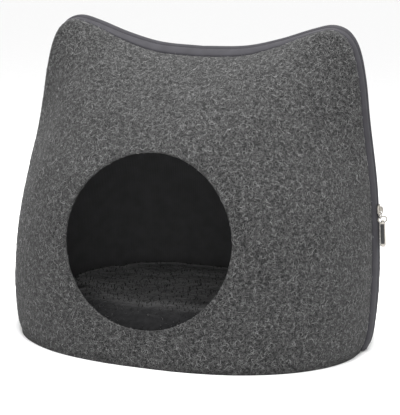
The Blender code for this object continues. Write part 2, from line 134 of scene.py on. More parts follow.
def fibre_lines(tree: bpy.types.NodeTree, place: bpy.types.NodeSocket, pitch: float,
                width: float, seed: float, strength: float = 1.0) -> bpy.types.Node:
    """Thin curly lines, where a smooth noise crosses its middle value.

    Args:
        tree: the material's tree.
        place: the coordinates.
        pitch: distance between lines, in metres.
        width: share of the pitch that a line takes.
        seed: picks another pattern.
        strength: the mask's value on a line.

    Returns:
        Node with the mask, which is 0 between the lines.
    """
    add = partial(add_node, tree)
    lines = add("ShaderNodeTexNoise", {"Vector": place, "W": seed, "Scale": 1 / pitch,
                                       "Detail": 1.0, "Distortion": 0.6}, noise_dimensions="4D")
    off = add("ShaderNodeMath", {0: lines, 1: 0.5}, operation="SUBTRACT")
    size = add("ShaderNodeMath", {0: off}, operation="ABSOLUTE")
    return add("ShaderNodeMapRange", {"Value": size, "From Min": 0.0, "From Max": width,
                                      "To Min": strength, "To Max": 0.0},
               interpolation_type="SMOOTHSTEP")


def uneven(tree: bpy.types.NodeTree, place: bpy.types.NodeSocket, size: float,
           spread: float, detail: float = 2.0, level: float = 1.0) -> bpy.types.Node:
    """A factor that wanders round a level.

    Args:
        tree: the material's tree.
        place: the coordinates.
        size: size of the patches, in metres.
        spread: how far the factor goes from the level, as a share of it.
        detail: how many finer layers lie on the patches.
        level: the factor's middle value.

    Returns:
        Node with the factor.
    """
    patches = add_node(tree, "ShaderNodeTexNoise",
                       {"Vector": place, "Scale": 1 / size, "Detail": detail})
    return add_node(tree, "ShaderNodeMapRange",
                    {"Value": patches, "From Min": 0.3, "From Max": 0.7,
                     "To Min": level * (1.0 - spread), "To Max": level * (1.0 + spread)})


def mottled(tree: bpy.types.NodeTree, colour: str, *factors: bpy.types.Node) -> bpy.types.Node:
    """A colour made uneven by one or more factors.

    Args:
        tree: the material's tree.
        colour: the colour's sRGB hex value.
        factors: nodes with the factors.

    Returns:
        Node with the uneven colour.
    """
    shade = srgb(colour)
    for factor in factors:
        shade = add_node(tree, "ShaderNodeMix", {"Factor": 1.0, 6: shade, 7: factor},
                         data_type="RGBA", blend_type="MULTIPLY")
    return shade


# ---------------------------------------------------------------- finishes
@dataclass(frozen=True)
class Finish:
    """What all finishes have: the real material's name and its main colour."""

    name: str
    colour: str

    def start(self, **sockets: object) -> tuple:
        """Make a Principled material.

        Args:
            sockets: values of the shader's sockets, with _ for a space.

        Returns:
            The material, its tree, its shader node and the Object coordinates.
        """
        material = bpy.data.materials.new(self.name)
        material.use_nodes = True
        tree = material.node_tree
        shader = tree.nodes["Principled BSDF"]
        feed(tree, shader, {key.replace("_", " "): value for key, value in sockets.items()})
        place = add_node(tree, "ShaderNodeTexCoord").outputs["Object"]
        return material, tree, shader, place


@dataclass(frozen=True)
class MelangeFelt(Finish):
    """Needle-punched polyester felt from fibres of several greys."""

    name: str = "needled_polyester_felt"
    colour: str = "#1c1c1c"
    light: str = "#747474"
    # painted shade: the colour of the dark gaps between the fibres
    dark: str = "#070707"
    # Size and spread of the paler and darker areas, of the clumps that needling leaves, of
    # the tufts and of the grain.
    patches: tuple = ((34 * MM, 0.13), (8 * MM, 0.14), (3 * MM, 0.06), (0.7 * MM, 0.70))
    # Pitch, width, seed and strength of the pale curls, long and short, and of the dark
    # gaps, which are painted shade between the fibres.  Real fibres are 20 microns thick.  These
    # are drawn far coarser, to show.
    long_curls: tuple = (1.9 * MM, 0.060, 1.0)
    short_curls: tuple = (1.2 * MM, 0.080, 7.0)
    painted_gap_shade: tuple = (1.5 * MM, 0.080, 13.0, 0.8)
    crowd: tuple = (3 * MM, 0.7, 2.0, 0.42)     # how the curls crowd: as uneven takes it
    lift: float = 0.5 * MM                      # height of the surface fibres
    bump: float = 0.6

    def material(self) -> bpy.types.Material:
        """Matt, mottled and fuzzy: pale fibres curl over a mid-grey ground, with painted shade in
        dark gaps between them.

        Returns:
            The material.
        """
        material, tree, shader, place = self.start(
            Roughness=0.95, Sheen_Weight=0.03, Sheen_Roughness=0.5, Specular_IOR_Level=0.1)
        add = partial(add_node, tree)
        factors = [uneven(tree, place, *patch) for patch in self.patches]
        longer, shorter, painted_gap_shade = (fibre_lines(tree, place, *lines) for lines in
                                 (self.long_curls, self.short_curls, self.painted_gap_shade))
        both = add("ShaderNodeMath", {0: longer, 1: shorter}, operation="MAXIMUM")
        curls = add("ShaderNodeMath", {0: both, 1: uneven(tree, place, *self.crowd)},
                    operation="MULTIPLY")
        # deep: the ground with painted shade mixed into the gaps between the fibres
        deep = add("ShaderNodeMix", {"Factor": painted_gap_shade, 6: mottled(tree, self.colour, *factors),
                                     7: srgb(self.dark)}, data_type="RGBA")
        fibres = add("ShaderNodeMix", {"Factor": curls, 6: deep, 7: srgb(self.light)},
                     data_type="RGBA")
        height = add("ShaderNodeMath", {0: curls, 1: factors[-1]}, operation="ADD")
        bump = add("ShaderNodeBump", {"Height": height, "Strength": self.bump,
                                      "Distance": self.lift})
        feed(tree, shader, {"Base Color": fibres, "Normal": bump})
        return material


@dataclass(frozen=True)
class BondedBacking(Finish):
    """Dark warp-knit polyester bonded to the felt's inside."""

    name: str = "bonded_knit_backing"
    colour: str = "#4a4a4b"
    patch: tuple = (12 * MM, 0.12)
    rib: float = 1.2 * MM

    def material(self) -> bpy.types.Material:
        """Smooth, dark and matt, with fine upright ribs.

        Returns:
            The material.
        """
        material, tree, shader, place = self.start(Roughness=0.85, Sheen_Weight=0.1)
        ribs = add_node(tree, "ShaderNodeTexWave",
                        {"Vector": place, "Scale": 1 / (self.rib * math.tau), "Distortion": 0.4},
                        bands_direction="X")
        bump = add_node(tree, "ShaderNodeBump", {"Height": ribs.outputs["Fac"], "Strength": 0.4,
                                                 "Distance": 0.2 * MM})
        shade = mottled(tree, self.colour, uneven(tree, place, *self.patch))
        feed(tree, shader, {"Base Color": shade, "Normal": bump})
        return material


@dataclass(frozen=True)
class SurfaceFibre(Finish):
    """Loose polyester fibres that curl over the felt's face."""

    name: str = "polyester_fibre"
    colour: str = "#7a7a7a"
    patch: tuple = (5 * MM, 0.5)

    def material(self) -> bpy.types.Material:
        """Paler than the felt and slightly glossy, some lighter than others.

        Returns:
            The material.
        """
        material, tree, shader, place = self.start(Roughness=0.7, Sheen_Weight=0.03,
                                                   Specular_IOR_Level=0.15)
        shade = mottled(tree, self.colour, uneven(tree, place, *self.patch))
        feed(tree, shader, {"Base Color": shade})
        return material


@dataclass(frozen=True)
class WovenTape(Finish):
    """Dense woven polyester zip tape, read along its own UV map in metres."""

    name: str = "woven_polyester_tape"
    colour: str = "#2f2e32"
    patch: tuple = (11 * MM, 0.14)
    rib: float = 0.9 * MM           # real ribs are 0.5 mm; drawn coarser, to show

    def material(self) -> bpy.types.Material:
        """Smooth and slightly shiny, with fine ribs slanting over its length.

        Returns:
            The material.
        """
        material, tree, shader, _ = self.start(
            Roughness=0.7, Sheen_Weight=0.04, Sheen_Roughness=0.4, Specular_IOR_Level=0.2)
        along = add_node(tree, "ShaderNodeUVMap", uv_map="along").outputs["UV"]
        ribs = add_node(tree, "ShaderNodeTexWave",
                        {"Vector": along, "Scale": 1 / (self.rib * math.tau), "Distortion": 0.3},
                        bands_direction="DIAGONAL")
        bump = add_node(tree, "ShaderNodeBump", {"Height": ribs.outputs["Fac"],
                                                 "Strength": 0.25, "Distance": 0.1 * MM})
        shade = mottled(tree, self.colour, uneven(tree, along, *self.patch))
        feed(tree, shader, {"Base Color": shade, "Normal": bump})
        return material


@dataclass(frozen=True)
class NylonCoil(Finish):
    """Extruded nylon monofilament, wound and heat-set into the zip's teeth."""

    name: str = "nylon_monofilament"
    colour: str = "#232325"
    gloss: tuple = (3 * MM, 0.2, 2.0, 0.4)      # roughness: as uneven takes it

    def material(self) -> bpy.types.Material:
        """Dark with a soft gloss, a little uneven.

        Returns:
            The material.
        """
        material, tree, shader, place = self.start(Base_Color=srgb(self.colour))
        feed(tree, shader, {"Roughness": uneven(tree, place, *self.gloss)})
        return material


@dataclass(frozen=True)
class NickelPlate(Finish):
    """Zinc casting, tumbled and nickel plated."""

    name: str = "nickel_plated_zinc"
    # painted shade: the colour is darkened so that its reflections come out dark
    colour: str = "#98948e"
    marks: tuple = (1.5 * MM, 0.35, 4.0)        # handling marks: as uneven takes it
    roughness: float = 0.25

    def material(self) -> bpy.types.Material:
        """Warm white metal, darkened as painted shade in its reflections, with a faint orange
        peel and handling marks.

        Returns:
            The material.
        """
        material, tree, shader, place = self.start(Base_Color=srgb(self.colour), Metallic=1.0)
        marks = uneven(tree, place, *self.marks)
        rough = add_node(tree, "ShaderNodeMath", {0: marks, 1: self.roughness},
                         operation="MULTIPLY")
        bump = add_node(tree, "ShaderNodeBump", {"Height": marks, "Strength": 0.15,
                                                 "Distance": 0.05 * MM})
        feed(tree, shader, {"Roughness": rough, "Normal": bump})
        return material


@dataclass(frozen=True)
class MouldedInsert(Finish):
    """Soft PVC moulded into the pull's metal frame."""

    name: str = "moulded_pvc"
    colour: str = "#1c1c1d"
    grain: tuple = (0.4 * MM, 0.15)

    def material(self) -> bpy.types.Material:
        """Near-black and satin, with a fine spark-eroded grain.

        Returns:
            The material.
        """
        material, tree, shader, place = self.start(Roughness=0.5)
        grain = uneven(tree, place, *self.grain)
        bump = add_node(tree, "ShaderNodeBump", {"Height": grain, "Strength": 0.3,
                                                 "Distance": 0.05 * MM})
        feed(tree, shader, {"Base Color": mottled(tree, self.colour, grain), "Normal": bump})
        return material


@dataclass(frozen=True)
class ShortPlush(Finish):
    """Knitted polyester plush with a short pile."""

    name: str = "polyester_plush"
    colour: str = "#1f1f20"
    tufts: tuple = (5 * MM, 0.3, 5.0)           # as uneven takes it
    lift: float = 1.5 * MM

    def material(self) -> bpy.types.Material:
        """Deep and soft: tufts catch the light at their tips.

        Returns:
            The material.
        """
        material, tree, shader, place = self.start(
            Roughness=1.0, Sheen_Weight=0.3, Sheen_Roughness=0.4, Specular_IOR_Level=0.1)
        tufts = uneven(tree, place, *self.tufts)
        bump = add_node(tree, "ShaderNodeBump", {"Height": tufts, "Strength": 0.4,
                                                 "Distance": self.lift})
        feed(tree, shader, {"Base Color": mottled(tree, self.colour, tufts), "Normal": bump})
        return material


@dataclass(frozen=True)
class StudioPaper(Finish):
    """Matt seamless background paper."""

    name: str = "background_paper"
    colour: str = "#fafafa"
    patch: tuple = (30 * MM, 0.01)

    def material(self) -> bpy.types.Material:
        """White and matt, with the faintest unevenness.

        Returns:
            The material.
        """
        material, tree, shader, place = self.start(Roughness=0.95, Specular_IOR_Level=0.1)
        shade = mottled(tree, self.colour, uneven(tree, place, *self.patch))
        feed(tree, shader, {"Base Color": shade})
        return material


# ---------------------------------------------------------------- mesh helpers
def linked(name: str, data: bpy.types.ID) -> bpy.types.Object:
    """Put data into the scene as a new object at the origin.

    Args:
        name: the object's name.
        data: its mesh, light or camera.

    Returns:
        The object.
    """
    obj = bpy.data.objects.new(name, data)
    bpy.context.scene.collection.objects.link(obj)
    return obj


def evaluated_mesh(obj: bpy.types.Object) -> bpy.types.Mesh:
    """New mesh from an object as its modifiers leave it."""
    graph = bpy.context.evaluated_depsgraph_get()
    return bpy.data.meshes.new_from_object(obj.evaluated_get(graph))


def plain_mesh(obj: bpy.types.Object) -> None:
    """Replace an object's mesh by its evaluated one, and remove its modifiers.

    Args:
        obj: the object.
    """
    mesh = evaluated_mesh(obj)
    obj.modifiers.clear()
    obj.data = mesh


def object_from_bmesh(name: str, bm: bmesh.types.BMesh,
                      materials: list[bpy.types.Material]) -> bpy.types.Object:
    """Turn a bmesh into a linked, smooth-shaded object at the origin.

    Args:
        name: the object's name.
        bm: the bmesh, which is freed.
        materials: the mesh's materials.

    Returns:
        The object.
    """
    mesh = bpy.data.meshes.new(name)
    bm.to_mesh(mesh)
    bm.free()
    for material in materials:
        mesh.materials.append(material)
    mesh.shade_smooth()
    return linked(name, mesh)


def ring_faces(bm: bmesh.types.BMesh, ring: list, following: list, slot: int = 0) -> list:
    """Join two equal closed rings of vertices by a band of faces.

    Args:
        bm: the mesh.
        ring: one ring.
        following: the other.
        slot: the faces' material slot.

    Returns:
        The faces.
    """
    faces = []
    for a, b, c, d in zip(ring, ring[1:] + ring[:1], following[1:] + following[:1], following):
        face = bm.faces.new((a, b, c, d))
        face.material_index = slot
        faces.append(face)
    return faces


def lofted(rings: list, closed: bool) -> bmesh.types.BMesh:
    """Closed mesh through equal rings of points.

    Args:
        rings: the rings, each a list of points.
        closed: whether the last ring meets the first; otherwise both ends are capped.

    Returns:
        The mesh.
    """
    bm = bmesh.new()
    rows = [[bm.verts.new(p) for p in ring] for ring in rings]
    for row, following in zip(rows, rows[1:] + rows[:1] if closed else rows[1:]):
        ring_faces(bm, row, following)
    if not closed:
        bm.faces.new(rows[0][::-1])
        bm.faces.new(rows[-1])
    bmesh.ops.recalc_face_normals(bm, faces=bm.faces)
    return bm


def moved(bm: bmesh.types.BMesh, matrix: Matrix) -> bmesh.types.BMesh:
    """Move a mesh by a matrix and keep its faces outwards.

    Args:
        bm: the mesh, which is changed.
        matrix: the move.

    Returns:
        The same mesh.
    """
    bmesh.ops.transform(bm, matrix=matrix, verts=bm.verts)
    bmesh.ops.recalc_face_normals(bm, faces=bm.faces)
    return bm


def axes(x: tuple, y: tuple, z: tuple, origin: tuple = (0.0, 0.0, 0.0)) -> Matrix:
    """Matrix that turns the axes to the directions x, y and z, and moves to the origin."""
    return Matrix.Translation(origin) @ Matrix((x, y, z)).transposed().to_4x4()


def flat_plate(outlines: list, thickness: float, edge: float) -> bmesh.types.BMesh:
    """Plate with rounded edges, in the XY plane.

    Args:
        outlines: rows of (x, y); the first is the rim, and the others are holes.
        thickness: thickness along Z.
        edge: radius of the rounded edges.

    Returns:
        The mesh.
    """
    data = bpy.data.curves.new("plate", "CURVE")
    data.dimensions, data.fill_mode = "2D", "BOTH"
    data.extrude, data.offset = thickness / 2 - edge, -edge
    data.bevel_depth, data.bevel_resolution = edge, 2
    for outline in outlines:
        spline = data.splines.new("POLY")
        spline.points.add(len(outline) - 1)
        for knot, (x, y) in zip(spline.points, outline):
            knot.co = (x, y, 0.0, 1.0)
        spline.use_cyclic_u = True
    curve = linked("plate", data)
    bm = bmesh.new()
    bm.from_mesh(evaluated_mesh(curve))
    bpy.data.objects.remove(curve)
    bmesh.ops.remove_doubles(bm, verts=bm.verts, dist=MERGED)
    bmesh.ops.recalc_face_normals(bm, faces=bm.faces)
    return bm


def rounded_outline(width: float, height: float, radius: float, steps: int = 6) -> list:
    """Outline of a rectangle with round corners, round its middle.

    Args:
        width: size along X.
        height: size along Y.
        radius: radius of the corners.
        steps: straight pieces in a corner.

    Returns:
        Its (x, y) points, counter-clockwise.
    """
    points = []
    for quarter, (sx, sy) in enumerate(((1, 1), (-1, 1), (-1, -1), (1, -1))):
        for step in range(steps + 1):
            angle = (quarter + step / steps) * math.pi / 2
            points.append((sx * (width / 2 - radius) + radius * math.cos(angle),
                           sy * (height / 2 - radius) + radius * math.sin(angle)))
    return points


def oval_ring(centre: Vector, across: Vector, up: Vector, radius: float,
              steps: int = 40, sides: int = 10) -> bmesh.types.BMesh:
    """Ring of round wire bent to an oval.

    Args:
        centre: the oval's middle.
        across: one of its half axes.
        up: the other half axis.
        radius: radius of the wire.
        steps: pieces round the oval.
        sides: sides of the wire.

    Returns:
        The mesh.
    """
    normal = across.cross(up).normalized()
    rings = []
    for turn in np.linspace(0, math.tau, steps, endpoint=False):
        place = centre + across * math.cos(turn) + up * math.sin(turn)
        along = up * math.cos(turn) - across * math.sin(turn)
        out = along.cross(normal).normalized()
        rings.append([place + (out * math.cos(a) + normal * math.sin(a)) * radius
                      for a in np.linspace(0, math.tau, sides, endpoint=False)])
    return lofted(rings, closed=True)


def united(name: str, shapes: list, material: bpy.types.Material) -> bpy.types.Object:
    """One object from overlapping closed shapes, joined by exact unions.

    Args:
        name: the object's name.
        shapes: bmeshes, which are freed.
        material: the object's material.

    Returns:
        The object.
    """
    whole, *extras = [object_from_bmesh(name, bm, [material]) for bm in shapes]
    for extra in extras:
        union = whole.modifiers.new("union", "BOOLEAN")
        union.operation, union.solver, union.object = "UNION", "EXACT", extra
    plain_mesh(whole)
    for extra in extras:
        bpy.data.objects.remove(extra)
    whole.data.shade_smooth()
    whole.data.set_sharp_from_angle(angle=SHARP_ANGLE)
    return whole


def run_nodes(obj: bpy.types.Object, tree: bpy.types.NodeTree, values: dict) -> None:
    """Run a Geometry Nodes tree on an object and keep the result as a plain mesh.

    Args:
        obj: the object, which is changed.
        tree: the node group.
        values: input name to value.
    """
    modifier = obj.modifiers.new(tree.name, "NODES")
    modifier.node_group = tree
    for item in tree.interface.items_tree:
        if item.in_out == "INPUT" and item.name in values:
            modifier[item.identifier] = values[item.name]
    plain_mesh(obj)


def new_tree(name: str, inputs: dict[str, str]) -> tuple:
    """Start a Geometry Nodes tree.

    Args:
        name: the tree's name.
        inputs: input name to kind of socket, after the geometry.

    Returns:
        The tree and the outputs of its input node.
    """
    tree = bpy.data.node_groups.new(name, "GeometryNodeTree")
    for label, kind in {"Geometry": "Geometry", **inputs}.items():
        tree.interface.new_socket(label, in_out="INPUT", socket_type="NodeSocket" + kind)
    tree.interface.new_socket("Geometry", in_out="OUTPUT", socket_type="NodeSocketGeometry")
    return tree, tree.nodes.new("NodeGroupInput").outputs


def end_tree(tree: bpy.types.NodeTree, result: bpy.types.Node,
             material: bpy.types.NodeSocket) -> None:
    """End a Geometry Nodes tree: make its instances real and give them their material.

    Args:
        tree: the tree.
        result: node with the geometry.
        material: the output that gives the material.
    """
    real = add_node(tree, "GeometryNodeRealizeInstances", {"Geometry": result})
    dressed = add_node(tree, "GeometryNodeSetMaterial", {"Geometry": real, "Material": material})
    add_node(tree, "NodeGroupOutput", {"Geometry": dressed})


def finish_piece(obj: bpy.types.Object, slot: Slot, *nodes: str) -> None:
    """Fasten a finished piece to the cave and log it.

    Args:
        obj: the piece.
        slot: the material slot, which is only logged.
        nodes: the CAD nodes that it stands for.
    """
    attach(obj, BODY)
    if nodes:
        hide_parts(*nodes)
    obj.data.calc_loop_triangles()
    LOG.info("%s: %d triangles, slot %s", obj.name, len(obj.data.loop_triangles), slot.value)


def smooth_rows(rows: tuple, samples: int) -> np.ndarray:
    """Points on a smooth curve through the rows of a table.

    Args:
        rows: the table; its first two columns give the distance between rows.
        samples: points between two rows.

    Returns:
        One row of values for each point.
    """
    pts = np.array(rows, dtype=float)
    pts = np.vstack([2 * pts[0] - pts[1], pts, 2 * pts[-1] - pts[-2]])
    steps = np.linalg.norm(np.diff(pts[:, :2], axis=0), axis=1)
    out = []
    for i in range(1, len(pts) - 2):
        before, here, after = steps[i - 1:i + 2]
        slope_in = (pts[i + 1] - pts[i - 1]) / (before + here) * here
        slope_out = (pts[i + 2] - pts[i]) / (here + after) * here
        for t in np.linspace(0, 1, samples, endpoint=False):
            out.append((2 * t**3 - 3 * t**2 + 1) * pts[i] + (t**3 - 2 * t**2 + t) * slope_in
                       + (3 * t**2 - 2 * t**3) * pts[i + 1] + (t**3 - t**2) * slope_out)
    out.append(pts[-2])
    return np.array(out)


def along_length(points: np.ndarray) -> np.ndarray:
    """Distance along a row of points, from its first."""
    return np.concatenate([[0.0], np.cumsum(np.linalg.norm(np.diff(points, axis=0), axis=1))])


def eased(share: float | np.ndarray) -> float | np.ndarray:
    """A share from 0 to 1 that starts and ends gently."""
    return share * share * (3 - 2 * share)


# ---------------------------------------------------------------- the pressed form
@dataclass
class PressedForm:
    """One half of the cave as it comes from the mould, with its edge along the zip."""

    facing: Facing
    zip_half_width: float = 11.0 * MM   # from the slit to the felt's edge
    edge_roll: float = 6.0 * MM         # the felt rolls into the zip on this radius
    fullness: tuple[float, float] = (2.45, 2.25)
    samples: int = 40
    corner_row: int = 8
    hollow_fade: float = 20.0 * MM
    # Half of the zip's line, from a bottom corner over an ear to the middle of the dip.
    # Columns: half width, height, and how far the front and the back felt lie inside it.
    outline: tuple = (
        (0.1812, 0.0000, 0.0035, 0.0030),
        (0.1870, 0.0140, 0.0038, 0.0032),
        (0.1896, 0.0400, 0.0039, 0.0032),
        (0.1900, 0.0900, 0.0039, 0.0032),
        (0.1855, 0.1580, 0.0039, 0.0032),
        (0.1740, 0.2300, 0.0038, 0.0030),
        (0.1680, 0.2700, 0.0034, 0.0027),
        (0.1600, 0.2990, 0.0028, 0.0020),
        (0.1490, 0.3140, 0.0020, 0.0012),
        (0.1340, 0.3190, 0.0017, 0.0008),
        (0.1150, 0.3150, 0.0024, 0.0010),
        (0.0800, 0.3035, 0.0052, 0.0018),
        (0.0450, 0.2955, 0.0074, 0.0026),
        (0.0000, 0.2932, 0.0080, 0.0030),
    )
    # Columns: share of the height, depth in front of the edge, sharpness of the plan curve.
    profile: tuple = (
        (0.00, 0.1335, 0.53),
        (0.07, 0.1348, 0.54),
        (0.20, 0.1360, 0.53),
        (0.40, 0.1330, 0.62),
        (0.55, 0.1265, 0.82),
        (0.68, 0.1070, 1.08),
        (0.80, 0.0790, 1.15),
        (0.92, 0.0380, 1.20),
        (1.00, 0.0000, 1.25),
    )
    # Soft hollows of the front felt.  Columns: x and z of the middle, half width, half
    # height, depth; a negative depth is a swell.
    hollows: tuple = (
        (-0.112, 0.272, 0.014, 0.026, 0.0030),
        (-0.150, 0.235, 0.020, 0.022, 0.0022),
        (-0.158, 0.178, 0.024, 0.018, -0.0016),
    )

    def __post_init__(self) -> None:
        """Work out the zip's line, the felt's edge and the form's profile."""
        rows = smooth_rows(self.outline, self.samples)
        rows[-1, 0] = 0.0
        column = 2 if self.facing is Facing.FRONT else 3
        self.line, self.drop = rows[:, :2], rows[:, column]
        along = np.gradient(self.line, axis=0)
        along[-1] = (-1.0, 0.0)
        along /= np.linalg.norm(along, axis=1)[:, None]
        self.outward = np.stack([along[:, 1], -along[:, 0]], axis=1)
        self.edge = self.line - self.outward * self.drop[:, None]
        self.edge[0, 1] = 0.0
        self.corner = self.corner_row * self.samples
        self.form_line = smooth_rows(self.profile, self.samples)

    def at(self, values: np.ndarray, index: np.ndarray) -> np.ndarray:
        """Values along the outline at fractional sample numbers.

        Args:
            values: one value, or one row of values, for each sample of the outline.
            index: the sample numbers.

        Returns:
            The value or the row at each sample number.
        """
        samples = np.arange(len(self.line))
        if values.ndim == 1:
            return np.interp(index, samples, values)
        return np.stack([np.interp(index, samples, column) for column in values.T], axis=-1)

    def edge_distance(self, x: np.ndarray, z: np.ndarray) -> np.ndarray:
        """Distance from points to the felt's edge.

        Args:
            x: places across the cave.
            z: heights.

        Returns:
            The distances.
        """
        start, along = self.edge[:-1], np.diff(self.edge, axis=0)
        best = np.full(x.shape, np.inf)
        for (sx, sz), (ax, az) in zip(start, along):
            share = np.clip(((np.abs(x) - sx) * ax + (z - sz) * az) / (ax * ax + az * az), 0, 1)
            best = np.minimum(best, np.hypot(np.abs(x) - sx - share * ax, z - sz - share * az))
        return best

    def depth(self, x: np.ndarray, z: np.ndarray) -> np.ndarray:
        """Depth of the pressed form in front of the felt's edge.

        Args:
            x: places across the cave.
            z: heights.

        Returns:
            The depths, with the front's soft hollows.
        """
        side = self.edge[:self.corner + 1]
        top = self.edge[self.corner:][::-1]
        half_width = np.interp(np.maximum(z, 0.0), side[:, 1], side[:, 0])
        top_height = np.interp(np.abs(x), top[:, 0], top[:, 1])
        t = np.clip(z / top_height, 0.0, 1.0)
        s = np.minimum(np.abs(x) / half_width, 1.0)
        middle = np.interp(t, self.form_line[:, 0], self.form_line[:, 1])
        sharpness = np.interp(t, self.form_line[:, 0], self.form_line[:, 2])
        fullness = self.fullness[0] + (self.fullness[1] - self.fullness[0]) * t
        inside = self.edge_roll - np.minimum(self.edge_distance(x, z), self.edge_roll)
        roll = np.sqrt(self.edge_roll**2 - inside**2)
        depth = roll + middle * (1.0 - s**fullness) ** sharpness
        if self.facing is Facing.FRONT:
            dents = sum(deep * np.exp(-((x - cx) / wide) ** 2 - ((z - cz) / tall) ** 2)
                        for cx, cz, wide, tall, deep in self.hollows)
            depth = depth - dents * np.minimum(1.0, depth / self.hollow_fade)
        return depth

    def surface(self, x: np.ndarray, z: np.ndarray) -> np.ndarray:
        """Points of the felt's outer face, at places across the cave and heights."""
        y = self.facing.value * (self.zip_half_width + self.depth(x, z))
        return np.stack([x, y, z], axis=-1)

    def zip_stations(self, count: int) -> tuple[np.ndarray, np.ndarray]:
        """Even stations along the zip, from the right foot over both ears to the left.

        Args:
            count: number of stations.

        Returns:
            Sample numbers of the outline, and the side (1 right, -1 left) of each.
        """
        run = along_length(self.edge)
        whole = np.linspace(0, 2 * run[-1], count)
        index = np.interp(np.minimum(whole, 2 * run[-1] - whole), run, np.arange(len(run)))
        return index, np.where(whole <= run[-1], 1.0, -1.0)

    def boundary(self, zip_count: int, foot_count: int) -> np.ndarray:
        """Closed outline of the panel in X and Z: up the zip, and back along the foot.

        Args:
            zip_count: points along the zip.
            foot_count: points along the foot, closer where the wall runs deep.

        Returns:
            The points, counter-clockwise from the right foot.
        """
        index, side = self.zip_stations(zip_count)
        edge = self.at(self.edge, index) * np.stack([side, np.ones_like(side)], axis=-1)
        reach = self.edge[0, 0]
        share = np.linspace(-1, 1, 20 * foot_count)
        x = np.sign(share) * (1 - (1 - np.abs(share)) ** 2) * reach
        run = along_length(self.surface(x, np.zeros_like(x)))
        x = np.interp(np.linspace(0, run[-1], foot_count + 2)[1:-1], run, x)
        foot = np.stack([x, np.zeros_like(x)], axis=-1)
        return np.vstack([edge, foot])


# ---------------------------------------------------------------- felt panels
def grid_normals(points: np.ndarray) -> np.ndarray:
    """Unit normals of a surface made of closed rings.

    Args:
        points: its points, by ring, by place in the ring, by axis.

    Returns:
        A normal for each point.
    """
    around = np.roll(points, -1, axis=1) - np.roll(points, 1, axis=1)
    inward = np.gradient(points, axis=0)
    inward[0] = points[1] - points[0]
    normal = np.cross(inward, around)
    return normal / np.linalg.norm(normal, axis=-1)[..., None]


